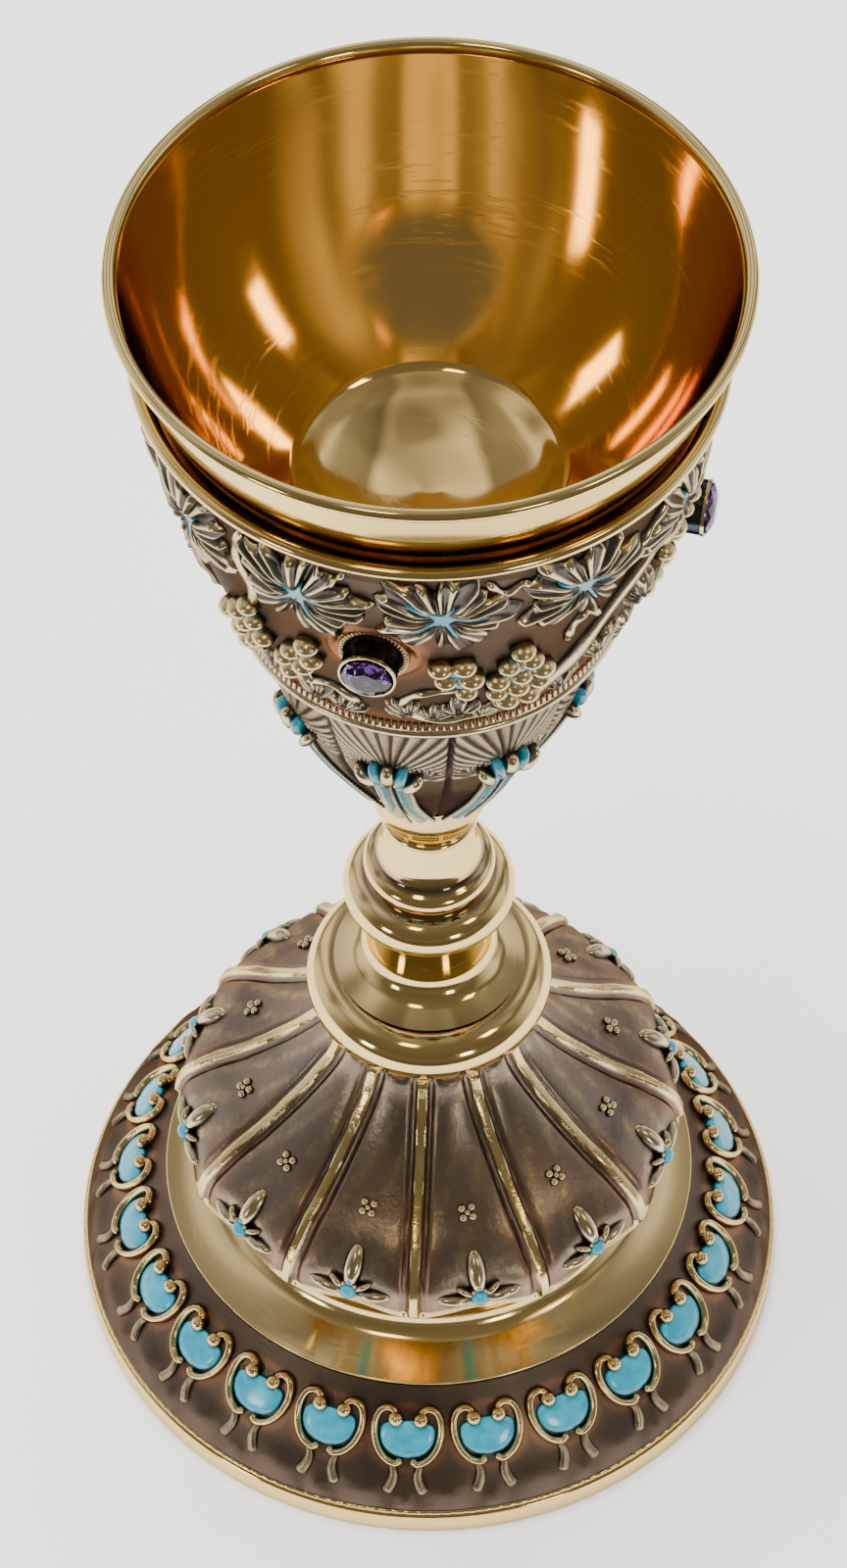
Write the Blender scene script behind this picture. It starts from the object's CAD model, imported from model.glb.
# %% [markdown]
# # A standing cup in silver, gilding, enamel and stone
# The object is a small chalice-shaped cup: a gilt bowl in a vine sleeve, a turned stem and a stepped foot.
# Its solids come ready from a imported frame, at real size, standing on z = 0 with the front towards -Y.
# This notebook dresses them: every visible surface is worked out with numpy and gets its own finish.

# %% Open the frame
import math

import bpy
import numpy as np
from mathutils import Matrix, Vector


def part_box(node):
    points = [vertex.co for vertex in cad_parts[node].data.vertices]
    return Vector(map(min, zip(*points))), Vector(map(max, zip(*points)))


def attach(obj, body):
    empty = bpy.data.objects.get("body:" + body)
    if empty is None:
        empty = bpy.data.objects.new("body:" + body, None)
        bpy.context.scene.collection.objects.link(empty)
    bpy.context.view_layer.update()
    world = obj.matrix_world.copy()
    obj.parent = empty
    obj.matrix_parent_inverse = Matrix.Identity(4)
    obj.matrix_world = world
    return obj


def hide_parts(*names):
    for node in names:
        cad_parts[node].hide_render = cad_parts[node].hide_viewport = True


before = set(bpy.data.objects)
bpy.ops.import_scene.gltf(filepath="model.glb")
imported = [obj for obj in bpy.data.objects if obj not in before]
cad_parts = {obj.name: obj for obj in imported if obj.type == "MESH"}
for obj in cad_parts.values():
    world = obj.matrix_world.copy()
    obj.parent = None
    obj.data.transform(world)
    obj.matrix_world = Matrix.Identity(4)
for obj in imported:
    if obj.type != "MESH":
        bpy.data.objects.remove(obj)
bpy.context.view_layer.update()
print("frame nodes:", sorted(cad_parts))

# %% [markdown]
# ## Sizes
# Heights and radii are read from the solids' boxes, so a change of the frame moves the dressing with it.
# What a box can't tell, such as a wall or the width of a bead, is a named length in metres.

# %% Read the main sizes
MM = 0.001


def heights(node):
    """Lowest and highest z of a solid."""
    low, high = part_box(node)
    return low[2], high[2]


def half_width(node):
    """Largest radius of a turned solid, read along X."""
    low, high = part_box(node)
    return (high[0] - low[0]) / 2


RING_HIGH = heights("foot_ring")[1]
FLANGE_LOW, FLANGE_HIGH = heights("foot_flange")
DRUM_LOW, DRUM_HIGH = heights("foot_drum")
DOME_LOW, DOME_HIGH = heights("foot_dome")
STEM_LOW, STEM_HIGH = heights("stem")
FAN_LOW, FAN_HIGH = heights("fan_cup")
CALYX_LOW, CALYX_HIGH = heights("calyx")
BOWL_LOW, BOWL_HIGH = heights("bowl")
FOOT_RADIUS = half_width("foot_ring")
DRUM_RADIUS = half_width("foot_drum")
RIM_RADIUS = half_width("bowl")
BEAD_TUBE = 0.95 * MM
BEAD_RADIUS = half_width("calyx")
BEAD_Z = CALYX_HIGH - BEAD_TUBE
print(f"height {BOWL_HIGH / MM:.1f} mm, foot {2 * FOOT_RADIUS / MM:.1f} mm, rim {2 * RIM_RADIUS / MM:.1f} mm")

# %% [markdown]
# ## Camera
# A product shot taken from well above: the lens is long, so the rim, the bead and the foot are nearly
# similar ellipses. The frame is upright, 864 by 1600, and the lens is given for its long side.

# %% Place the camera
PICTURE_HEIGHT = 1600
FOCAL_PIXELS = 4944.8
SENSOR = 36.0
CAMERA_DOWN = math.radians(52.81)
CAMERA_PLACE = (-0.0009, -0.4495, 0.7195)

camera_data = bpy.data.cameras.new("camera")
camera_data.sensor_width = SENSOR
camera_data.lens = SENSOR * FOCAL_PIXELS / PICTURE_HEIGHT
camera_data.clip_start = 0.01
camera = bpy.data.objects.new("camera", camera_data)
camera.location = CAMERA_PLACE
camera.rotation_euler = (math.pi / 2 - CAMERA_DOWN, 0.0, 0.0)
bpy.context.scene.collection.objects.link(camera)
bpy.context.scene.camera = camera
print(f"lens {camera_data.lens:.1f} mm")

# %% [markdown]
# ## Arrays for points
# A point on the cup is an azimuth in degrees (0 at the front, growing towards +X), a radius and a height.
# Primitives and modifiers could build a cup too, but here every surface is a grid of such points worked out
# at once, so each groove is a formula that can be read. A grid closes round its columns, its rows may close
# too or end in poles, and it may hold many copies of one motif.

# %% Points and soft steps


def place(azimuth, radius, height):
    """x is radius times sine, y is minus radius times cosine, z is the height."""
    angle = np.radians(azimuth)
    radius, height, angle = np.broadcast_arrays(radius, height, angle)
    return np.stack([radius * np.sin(angle), -radius * np.cos(angle), height], axis=-1)


def smoothstep(low, high, value):
    """0 below low, 1 above high, and 3t^2 - 2t^3 between them."""
    t = np.clip((value - low) / (high - low), 0.0, 1.0)
    return t * t * (3.0 - 2.0 * t)


def bell(value, width):
    """The Gauss curve exp(-(value / width)^2)."""
    return np.exp(-(value / width) ** 2)


print("a quarter of the way up a soft step:", smoothstep(0.0, 1.0, 0.25))

# %% [markdown]
# ## Faces from a grid
# A grid of points still needs its faces. A loop over the points could add them one by one, which is slow for
# a carved surface. Here the four corner numbers of every face come from whole arrays, and the ends close in
# fans, so a patch has no hole.

# %% Faces of a grid


def patch(points, loop=False, first_pole=None, last_pole=None, **masks):
    """Faces of a grid of points (copies, rows, columns, 3): each point joins its right and lower ones.

    The columns always close round, and loop closes the rows too. A pole is the step from an end row's
    middle to the tip of the fan of triangles that closes that end. Masks have one value for each point.
    """
    points = np.asarray(points, float)
    points = points.reshape((-1,) + points.shape[-3:])
    copies, rows, columns, _ = points.shape
    r = np.arange(rows if loop else rows - 1)[:, None]
    c = np.arange(columns)[None, :]
    below, right = (r + 1) % rows, (c + 1) % columns
    quads = np.stack([r * columns + c, below * columns + c, below * columns + right, r * columns + right], -1)
    quads = (quads.reshape(1, -1, 4) + (np.arange(copies) * rows * columns)[:, None, None]).reshape(-1, 4)
    flat = points.reshape(-1, 3)
    values = {n: np.broadcast_to(v, points.shape[:-1]).reshape(-1) for n, v in masks.items()}
    triangles = np.zeros((0, 3), int)
    for row, pole, turn in ((0, first_pole, 1), (rows - 1, last_pole, -1)):
        if pole is None:
            continue
        tips = points[:, row].mean(1) + np.asarray(pole, float).reshape(-1, 3)
        number = len(flat) + np.arange(copies)
        ring = (np.arange(copies) * rows * columns + row * columns)[:, None] + np.arange(columns)
        after = np.roll(ring, -1, axis=1)
        tip = np.broadcast_to(number[:, None], ring.shape)
        fan = np.stack([tip, ring, after] if turn == 1 else [tip, after, ring], -1).reshape(-1, 3)
        triangles = np.concatenate([triangles, fan])
        flat = np.concatenate([flat, tips])
        for n in values:
            grid = values[n][: copies * rows * columns].reshape(copies, rows, columns)
            values[n] = np.concatenate([values[n], grid[:, row].mean(1)])
    return {"points": flat, "quads": quads, "triangles": triangles, "masks": values}


def capped(points, **masks):
    """A patch whose end rows close in fans to their own middles."""
    return patch(points, False, (0, 0, 0), (0, 0, 0), **masks)


print("faces of a grid ready")

# %% [markdown]
# ## From arrays to a piece
# Blender takes a mesh as flat lists: places, corner numbers and where each face starts. from_pydata would
# do, but foreach_set copies whole arrays and is much faster. Each patch also brings two masks for its
# finish: wear says how far the oxide is rubbed off, and tint where another colour comes through.

# %% Build a piece
MASK_NAMES = ("wear", "tint")


def build(name, patches, material, nodes, sharp=40.0):
    """Join patches into one mesh object that rides the cup and stands for the named solids."""
    counts = np.cumsum([0] + [len(p["points"]) for p in patches])
    points = np.concatenate([p["points"] for p in patches])
    quads = np.concatenate([p["quads"] + s for p, s in zip(patches, counts)])
    triangles = np.concatenate([p["triangles"] + s for p, s in zip(patches, counts)])
    mesh = bpy.data.meshes.new(name)
    mesh.vertices.add(len(points))
    mesh.vertices.foreach_set("co", points.astype(np.float32).ravel())
    corners = np.concatenate([quads.ravel(), triangles.ravel()])
    mesh.loops.add(len(corners))
    mesh.loops.foreach_set("vertex_index", corners.astype(np.int32))
    starts = np.concatenate([np.arange(len(quads)) * 4, len(quads) * 4 + np.arange(len(triangles)) * 3])
    mesh.polygons.add(len(starts))
    mesh.polygons.foreach_set("loop_start", starts.astype(np.int32))
    mesh.update(calc_edges=True)
    for mask in MASK_NAMES:
        values = [p["masks"].get(mask, np.zeros(len(p["points"]))) for p in patches]
        layer = mesh.attributes.new(mask, "FLOAT", "POINT")
        layer.data.foreach_set("value", np.concatenate(values).astype(np.float32))
    mesh.shade_smooth()
    if sharp is not None:
        mesh.set_sharp_from_angle(angle=math.radians(sharp))
    mesh.materials.append(material)
    piece = bpy.data.objects.new(name, mesh)
    bpy.context.scene.collection.objects.link(piece)
    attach(piece, "root")
    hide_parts(*nodes)
    print(f"{name}: {2 * len(quads) + len(triangles)} triangles")
    return piece


print("a piece carries the masks", MASK_NAMES)

# %% [markdown]
# ## Profiles for turned pieces
# Most of a cup is turned on a lathe. A Screw modifier could turn a drawn line. Here the line is put together
# from arcs, eased runs and single points, as a turner's template is, and then turned as a grid.

# %% Profiles and the lathe


def arc(centre, radius, start, end, count):
    """Points on a circle in the profile plane: centre plus radius times (cosine, sine)."""
    angle = np.radians(np.linspace(start, end, count))
    return np.stack([centre[0] + radius * np.cos(angle), centre[1] + radius * np.sin(angle)], -1)


def hollow(neck, edge, foot, tilt, fillet, count=24):
    """Edge of a sloping ledge, then the quarter-round fillet that turns up to a neck.

    The ledge leans tilt degrees from upright. The fillet is an arc of the given radius that touches both.
    """
    lean = math.radians(tilt)
    corner = neck + fillet * (1.0 - math.cos(lean))
    rise = foot + (edge - corner) / math.tan(lean)
    middle = (neck + fillet, rise + fillet * math.sin(lean))
    return chain((edge, foot), arc(middle, fillet, 180.0 + tilt, 180.0, count))


def chain(*pieces):
    """Put points and runs of points together in one profile."""
    return np.concatenate([np.atleast_2d(np.asarray(p, float)) for p in pieces])


def ease(points, count):
    """A smooth run through a few points: cubic Hermite pieces with slopes from the neighbours."""
    knots = np.asarray(points, float)
    slopes = np.gradient(knots, axis=0)
    step = np.linspace(0.0, len(knots) - 1.0, count)
    k = np.minimum(step.astype(int), len(knots) - 2)
    f = (step - k)[:, None]
    p, q, m, n = knots[k], knots[k + 1], slopes[k], slopes[k + 1]
    return ((2 * f**3 - 3 * f**2 + 1) * p + (f**3 - 2 * f**2 + f) * m
            + (3 * f**2 - 2 * f**3) * q + (f**3 - f**2) * n)


def lathe(profile, columns=256, loop=False, **masks):
    """Turn a profile of (radius, height), outer side from the top down, round the axis.

    An end on the axis becomes a pole. Masks are one value for each profile point.
    """
    profile = np.asarray(profile, float)
    first = profile[0, 0] < 1e-9
    last = profile[-1, 0] < 1e-9
    keep = slice(1 if first else 0, len(profile) - (1 if last else 0))
    body = profile[keep]
    azimuth = np.arange(columns) * 360.0 / columns
    points = place(azimuth[None, :], body[:, :1], body[:, 1:])
    first_pole = (0.0, 0.0, profile[0, 1] - body[0, 1]) if first else None
    last_pole = (0.0, 0.0, profile[-1, 1] - body[-1, 1]) if last else None
    spread = {n: np.asarray(v, float)[keep][:, None] * np.ones((1, columns)) for n, v in masks.items()}
    return patch(points, loop, first_pole, last_pole, **spread)


print("points on a quarter arc:", len(arc((0.0, 0.0), MM, 0.0, 90.0, 5)))

# %% [markdown]
# ## Motifs on curved walls
# Leaves, grapes and scrolls are drawn flat, in metres across and up, and then laid on the wall. A
# Shrinkwrap modifier could press them on. Here the wall is a table (the length along its profile, the radius
# and height there, and the outward normal), because then the relief keeps its height and closed underside.

# %% Lay flat motifs on a turned wall


def wall_table(profile):
    """Arc length, radius, height and outward normal along a profile that runs from the top down."""
    profile = np.asarray(profile, float)
    step = np.diff(profile, axis=0)
    length = np.concatenate([[0.0], np.cumsum(np.hypot(step[:, 0], step[:, 1]))])
    slope = np.gradient(profile, length, axis=0)
    slope /= np.linalg.norm(slope, axis=1)[:, None]
    return {"s": length, "r": profile[:, 0], "z": profile[:, 1], "nr": -slope[:, 1], "nz": slope[:, 0]}


def spot_at(wall, height):
    """Length along the wall at a height."""
    order = np.argsort(wall["z"])
    return np.interp(height, wall["z"][order], wall["s"][order])


def lay(wall, azimuth, spot, across, up, out):
    """The wall point at arc length spot - up, turned by across / radius, moved out along the normal."""
    s = np.asarray(spot - up)
    r, z, nr, nz = (np.interp(s, wall["s"], wall[k]) for k in ("r", "z", "nr", "nz"))
    return place(azimuth + np.degrees(across / r), r + out * nr, z + out * nz)


print("wall helpers ready")

# %% [markdown]
# ## Balls and wires on a wall
# Grapes, knobs, beads, stems and scrolls are all balls or drawn wires, half sunk in a wall. Spheres and
# bevelled curves could be placed one by one. These two functions take arrays of places instead, so that a
# hundred beads are one mesh.

# %% Balls and wires


def balls(wall, azimuth, spot, across, up, radius, lift, sides=14, rings=9, squash=1.0, oval=1.0):
    """Small spheres on a wall, one for each entry of the arrays.

    squash flattens them along the normal, and oval flattens them up the wall and darkens their undersides.
    """
    azimuth, spot, across, up, radius, lift = (
        np.asarray(v, float)[..., None, None]
        for v in np.broadcast_arrays(azimuth, spot, across, up, radius, lift))
    down = np.linspace(0.12, math.pi - 0.12, rings)[:, None]
    turn = np.arange(sides)[None, :] * math.tau / sides
    x = across + radius * np.sin(down) * np.cos(turn)
    y = up + oval * radius * np.sin(down) * np.sin(turn)
    out = lift + radius * squash * np.cos(down)
    points = lay(wall, azimuth, spot, x, y, out)
    wear = smoothstep(-0.2, 0.75, np.cos(down) + 1.5 * (1.0 - oval) * np.sin(down) * np.sin(turn))
    return capped(points, wear=wear)


def tube(wall, azimuth, spot, path, width, height, sides=12, ridges=0.0, grain=0, wear_low=0.15,
         wear_high=1.0):
    """Carry a half-buried oval along a flat path on the wall.

    At each path point the section is (width cos a, height sin a) across and out; a ridge term adds
    ridges * |sin(grain a)| to the section, and both ends taper to a point.
    """
    path = np.asarray(path, float)
    along = np.gradient(path, axis=0)
    along /= np.linalg.norm(along, axis=1)[:, None]
    side = np.stack([along[:, 1], -along[:, 0]], -1)
    a = np.linspace(0.0, math.tau, sides, endpoint=False)[None, :]
    share = np.linspace(0.0, 1.0, len(path))[:, None]
    taper = np.clip(np.minimum(share, 1.0 - share) / 0.06, 0.25, 1.0) ** 0.5
    swell = 1.0 + ridges * np.abs(np.sin(grain * a)) if grain else 1.0 + 0.0 * a
    wide = np.broadcast_to(np.asarray(width, float).reshape(-1, 1), (len(path), 1)) * taper
    tall = np.broadcast_to(np.asarray(height, float).reshape(-1, 1), (len(path), 1)) * taper
    x = path[:, :1] + side[:, :1] * wide * np.cos(a) * swell
    y = path[:, 1:] + side[:, 1:] * wide * np.cos(a) * swell
    out = tall * np.sin(a) * swell
    azimuth = np.asarray(azimuth, float).reshape(-1, 1, 1)
    points = lay(wall, azimuth, spot, x[None], y[None], out[None])
    wear = np.broadcast_to(wear_low + (wear_high - wear_low) * smoothstep(0.0, 0.9, np.sin(a)), out.shape)
    return capped(points, wear=wear[None])


print("ball and wire helpers ready")

# %% [markdown]
# ## Finishes
# Old silver-gilt isn't one colour. The grounds are oxidised to a black-brown, what a cloth touches is
# rubbed back to pale gilding, and polished parts carry hairline scratches. Each material could hold its own
# copy of these effects. Three node groups hold them once instead: drifting tint, rubbed relief and hairlines.
# Each takes plain numbers and puts out colours, masks or heights.

# %% Node helpers


def node(tree, kind, inputs=None, **settings):
    """Add a node, set its properties and its unlinked inputs."""
    made = tree.nodes.new(kind)
    for key, value in settings.items():
        setattr(made, key, value)
    for key, value in (inputs or {}).items():
        made.inputs[key].default_value = value
    return made


def wire(tree, *links):
    """Link sockets: each entry is a node, its output, another node and that one's input."""
    for source, output, target, entry in links:
        tree.links.new(source.outputs[output], target.inputs[entry])


def ramp(tree, stops):
    """A colour ramp from (place, grey) pairs."""
    made = tree.nodes.new("ShaderNodeValToRGB")
    elements = made.color_ramp.elements
    while len(elements) < len(stops):
        elements.new(0.5)
    for element, (position, grey) in zip(elements, stops):
        element.position = position
        element.color = (grey, grey, grey, 1.0)
    return made


def new_group(name, inputs, outputs):
    """A shader node group with named sockets, and its input and output nodes."""
    tree = bpy.data.node_groups.new(name, "ShaderNodeTree")
    for label, kind, value in inputs:
        socket = tree.interface.new_socket(label, in_out="INPUT", socket_type=kind)
        socket.default_value = value
    for label, kind in outputs:
        tree.interface.new_socket(label, in_out="OUTPUT", socket_type=kind)
    return tree, tree.nodes.new("NodeGroupInput"), tree.nodes.new("NodeGroupOutput")


print("node helpers ready")

# %% [markdown]
# ## Drifting tint
# Gilding and oxide are never even. Two colours could be mixed in each material. As a group, the same cloud of
# noise serves metal, enamel, stone and paper, each with its own colours, scale and amount.

# %% Drifting tint


def drifting_tint_group():
    """Cloudy mix of two colours: noise on Object coordinates, sharpened by a ramp, drives the mix."""
    tree, start, end = new_group(
        "drifting_tint",
        [("Main", "NodeSocketColor", (0.5, 0.5, 0.5, 1)), ("Other", "NodeSocketColor", (0.3, 0.2, 0.1, 1)),
         ("Scale", "NodeSocketFloat", 60.0), ("Amount", "NodeSocketFloat", 0.5)],
        [("Color", "NodeSocketColor")])
    where = node(tree, "ShaderNodeTexCoord")
    noise = node(tree, "ShaderNodeTexNoise", {"Detail": 5.0, "Roughness": 0.6})
    edge = ramp(tree, [(0.38, 0.0), (0.68, 1.0)])
    share = node(tree, "ShaderNodeMath", operation="MULTIPLY")
    mix = node(tree, "ShaderNodeMix", data_type="RGBA")
    wire(tree, (where, "Object", noise, "Vector"), (start, "Scale", noise, "Scale"),
         (noise, "Fac", edge, "Fac"), (edge, "Color", share, 0), (start, "Amount", share, 1),
         (share, 0, mix, "Factor"), (start, "Main", mix, 6), (start, "Other", mix, 7),
         (mix, 2, end, "Color"))
    return tree


DRIFT = drifting_tint_group()
print("group:", DRIFT.name)

# %% [markdown]
# ## Rubbed relief
# Handling takes the oxide off the high places first, with a ragged edge. A Bevel or Pointiness node could
# find the edges, but depends on the mesh. The wear mask says where the ridges are, and noise frays its edge.

# %% Rubbed relief


def rubbed_group():
    """Rubbed relief: the wear mask plus a little noise, cut between a low and a high edge."""
    tree, start, end = new_group(
        "rubbed_relief",
        [("Wear", "NodeSocketFloat", 0.5), ("Low", "NodeSocketFloat", 0.3), ("High", "NodeSocketFloat", 0.7),
         ("Scale", "NodeSocketFloat", 500.0), ("Breakup", "NodeSocketFloat", 0.2)],
        [("Mask", "NodeSocketFloat")])
    where = node(tree, "ShaderNodeTexCoord")
    noise = node(tree, "ShaderNodeTexNoise", {"Detail": 4.0, "Roughness": 0.65})
    centred = node(tree, "ShaderNodeMath", operation="SUBTRACT")
    centred.inputs[1].default_value = 0.5
    scaled = node(tree, "ShaderNodeMath", operation="MULTIPLY")
    total = node(tree, "ShaderNodeMath", operation="ADD")
    cut = node(tree, "ShaderNodeMapRange", interpolation_type="SMOOTHSTEP")
    wire(tree, (where, "Object", noise, "Vector"), (start, "Scale", noise, "Scale"),
         (noise, "Fac", centred, 0), (centred, 0, scaled, 0), (start, "Breakup", scaled, 1),
         (scaled, 0, total, 0), (start, "Wear", total, 1), (total, 0, cut, "Value"),
         (start, "Low", cut, "From Min"), (start, "High", cut, "From Max"),
         (cut, "Result", end, "Mask"))
    return tree


RUBBED = rubbed_group()
print("group:", RUBBED.name)

# %% [markdown]
# ## Hairlines
# Polished gilding is full of fine scratches that run in patches. An image of scratches could be laid on.
# A stretched noise, kept only where it is high, gives lines that never repeat.

# %% Hairlines


def hairline_group():
    """Hairlines: a stretched noise, kept by a steep ramp where it is high, within broad patches."""
    tree, start, end = new_group(
        "hairlines",
        [("Scale", "NodeSocketFloat", 90.0), ("Stretch", "NodeSocketVector", (1.0, 1.0, 14.0))],
        [("Height", "NodeSocketFloat"), ("Mask", "NodeSocketFloat")])
    where = node(tree, "ShaderNodeTexCoord")
    stretch = node(tree, "ShaderNodeVectorMath", operation="MULTIPLY")
    fine = node(tree, "ShaderNodeTexNoise", {"Detail": 3.0, "Roughness": 0.7})
    broad = node(tree, "ShaderNodeTexNoise", {"Scale": 35.0, "Detail": 4.0})
    lines = ramp(tree, [(0.56, 0.0), (0.62, 1.0)])
    patches = ramp(tree, [(0.42, 0.0), (0.6, 1.0)])
    both = node(tree, "ShaderNodeMath", operation="MULTIPLY")
    wire(tree, (where, "Object", stretch, 0), (start, "Stretch", stretch, 1),
         (stretch, 0, fine, "Vector"), (start, "Scale", fine, "Scale"),
         (where, "Object", broad, "Vector"), (fine, "Fac", lines, "Fac"),
         (broad, "Fac", patches, "Fac"), (lines, "Color", both, 0), (patches, "Color", both, 1),
         (both, 0, end, "Height"), (both, 0, end, "Mask"))
    return tree


HAIRLINES = hairline_group()
print("shared groups:", [g.name for g in (DRIFT, RUBBED, HAIRLINES)])

# %% [markdown]
# ## Polished gilding
# The stem, the rim and the foot ring are mirrors with a pale, creamy gold. The drum is a little softer, the
# bowl's lining warmer, and the sleeve's lining coppery. One function makes all five gilt finishes: a colour
# that drifts towards copper, hairlines that roughen it, and dark oxide where the tint mask marks a groove. A
# flat gold would show perfect reflections and look like plastic film.

# %% Gilt materials


def fresh_material(name):
    """A material with an empty Principled shader."""
    material = bpy.data.materials.new(name)
    material.use_nodes = True
    return material, material.node_tree, material.node_tree.nodes["Principled BSDF"]


def use_group(tree, group, **values):
    """Place a group and set its inputs."""
    made = tree.nodes.new("ShaderNodeGroup")
    made.node_tree = group
    for key, value in values.items():
        made.inputs[key].default_value = value
    return made


OXIDE = (0.13, 0.095, 0.10, 1.0)


def gilt(name, main, other, rough, hair_rough, drift_scale=45.0, drift=0.6):
    """A polished gilding with drifting tint, hairlines, and dark oxide where the tint mask marks a groove."""
    material, tree, shader = fresh_material(name)
    tint = use_group(tree, DRIFT, Main=(*main, 1), Other=(*other, 1), Scale=drift_scale, Amount=drift)
    groove = node(tree, "ShaderNodeAttribute", attribute_name="tint")
    oxide = node(tree, "ShaderNodeMix", data_type="RGBA")
    oxide.inputs[7].default_value = OXIDE
    hair = use_group(tree, HAIRLINES, Scale=80.0)
    level = node(tree, "ShaderNodeMapRange")
    level.inputs["To Min"].default_value = rough
    level.inputs["To Max"].default_value = hair_rough
    relief = node(tree, "ShaderNodeBump", {"Strength": 0.05, "Distance": 0.0001})
    wire(tree, (groove, "Fac", oxide, "Factor"), (tint, "Color", oxide, 6),
         (oxide, 2, shader, "Base Color"), (hair, "Mask", level, "Value"),
         (level, "Result", shader, "Roughness"), (hair, "Height", relief, "Height"),
         (relief, "Normal", shader, "Normal"))
    shader.inputs["Metallic"].default_value = 1.0
    shader.inputs["Specular Tint"].default_value = (0.96, 0.86, 0.62, 1.0)
    return material


POLISHED = gilt("polished_gilt", (0.83, 0.63, 0.25), (0.82, 0.56, 0.27), 0.09, 0.2)
SOFT_GILT = gilt("soft_gilt", (0.84, 0.64, 0.27), (0.80, 0.57, 0.27), 0.12, 0.2)
BOWL_GILT = gilt("bowl_gilt", (0.90, 0.62, 0.23), (0.86, 0.53, 0.19), 0.08, 0.2, drift=0.5)
SLEEVE_GILT = gilt("sleeve_gilt", (0.70, 0.34, 0.13), (0.36, 0.15, 0.08), 0.22, 0.4, drift_scale=90.0,
                   drift=0.8)
ROPE_GILT = gilt("rope_gilt", (0.55, 0.38, 0.20), (0.26, 0.15, 0.10), 0.25, 0.45, drift_scale=300.0,
                 drift=0.7)
print("gilt finishes:", [m.name for m in (POLISHED, SOFT_GILT, BOWL_GILT, SLEEVE_GILT, ROPE_GILT)])

# %% [markdown]
# ## Oxidised silver, rubbed back to gilding
# Every relief carries a wear mask, 0 in a groove and 1 on a ridge. The mask could be painted by hand; worked
# out with the shape, it always sits on the ridge. It chooses between a dark brown-grey ground and pale
# gilding, and makes the ridges smoother. A second mask, tint, marks where the ground turns coppery, as round
# the stones and the horseshoes. The grapes, wires, dome, fans and collets each have their own mix.

# %% Oxidised materials


COPPER = (0.42, 0.19, 0.10, 1.0)


def oxidised(name, dark, brown, bright, low=0.3, high=0.75, rough=0.42, shine=0.2, bump=0.12):
    """Dark ground and bright ridges by the wear mask, coppery by the tint mask, finely matted by noise."""
    material, tree, shader = fresh_material(name)
    wear = node(tree, "ShaderNodeAttribute", attribute_name="wear")
    tinted = node(tree, "ShaderNodeAttribute", attribute_name="tint")
    ground = use_group(tree, DRIFT, Main=(*dark, 1), Other=(*brown, 1), Scale=120.0, Amount=0.55)
    copper = node(tree, "ShaderNodeMix", data_type="RGBA")
    copper.inputs[7].default_value = COPPER
    deeper = (bright[0] * 0.8, bright[1] * 0.72, bright[2] * 0.62, 1)
    gild = use_group(tree, DRIFT, Main=(*bright, 1), Other=deeper, Scale=260.0, Amount=0.6)
    rub = use_group(tree, RUBBED, Low=low, High=high, Scale=700.0, Breakup=0.35)
    blend = node(tree, "ShaderNodeMix", data_type="RGBA")
    level = node(tree, "ShaderNodeMapRange")
    level.inputs["To Min"].default_value = rough
    level.inputs["To Max"].default_value = shine
    where = node(tree, "ShaderNodeTexCoord")
    matt = node(tree, "ShaderNodeTexNoise", {"Scale": 900.0, "Detail": 3.0, "Roughness": 0.7})
    relief = node(tree, "ShaderNodeBump", {"Strength": bump, "Distance": 0.0002})
    wire(tree, (tinted, "Fac", copper, "Factor"), (ground, "Color", copper, 6),
         (wear, "Fac", rub, "Wear"), (rub, "Mask", blend, "Factor"), (copper, 2, blend, 6),
         (gild, "Color", blend, 7), (blend, 2, shader, "Base Color"), (rub, "Mask", level, "Value"),
         (level, "Result", shader, "Roughness"), (where, "Object", matt, "Vector"),
         (matt, "Fac", relief, "Height"), (relief, "Normal", shader, "Normal"))
    shader.inputs["Metallic"].default_value = 1.0
    shader.inputs["Specular Tint"].default_value = (0.30, 0.27, 0.25, 1.0)
    return material


GROUND = oxidised("oxidised_ground", (0.115, 0.088, 0.070), (0.17, 0.115, 0.075), (0.62, 0.52, 0.32),
                  bump=0.35)
RELIEF = oxidised("rubbed_relief", (0.115, 0.103, 0.094), (0.15, 0.12, 0.10), (0.72, 0.60, 0.37),
                  low=0.36, high=0.9, rough=0.33, shine=0.19)
GRAPE_SILVER = oxidised("grape_silver", (0.14, 0.12, 0.10), (0.17, 0.13, 0.10), (0.80, 0.65, 0.36),
                        low=0.18, high=0.7, rough=0.38, shine=0.26)
WIRE_GILT = oxidised("wire_gilt", (0.15, 0.10, 0.07), (0.18, 0.11, 0.07), (0.82, 0.62, 0.30),
                     low=0.15, high=0.6, rough=0.36, shine=0.2)
DOME_SILVER = oxidised("dome_silver", (0.20, 0.163, 0.135), (0.28, 0.20, 0.14), (0.84, 0.66, 0.32),
                       rough=0.33, shine=0.16, bump=0.4)
FAN_SILVER = oxidised("fan_silver", (0.085, 0.072, 0.066), (0.14, 0.105, 0.085), (0.46, 0.39, 0.29),
                      rough=0.38, shine=0.27)
COLLET_SILVER = oxidised("collet_silver", (0.05, 0.06, 0.078), (0.08, 0.088, 0.10), (0.72, 0.62, 0.36),
                         rough=0.2, shine=0.14, bump=0.04)
print("oxidised finishes:", [m.name for m in (GROUND, RELIEF, GRAPE_SILVER, WIRE_GILT, DOME_SILVER,
                                              FAN_SILVER, COLLET_SILVER)])

# %% [markdown]
# ## Enamel and amethyst
# The turquoise is opaque enamel, fused in the metal: glossy, with a cloudy colour and a surface like orange
# peel. The stones are clear violet, so they transmit light, and their values are plain numbers on the shader.
# A violet paint would hide the facets on the far side, which are what makes a cut stone sparkle.

# %% Enamel and stone materials


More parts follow.
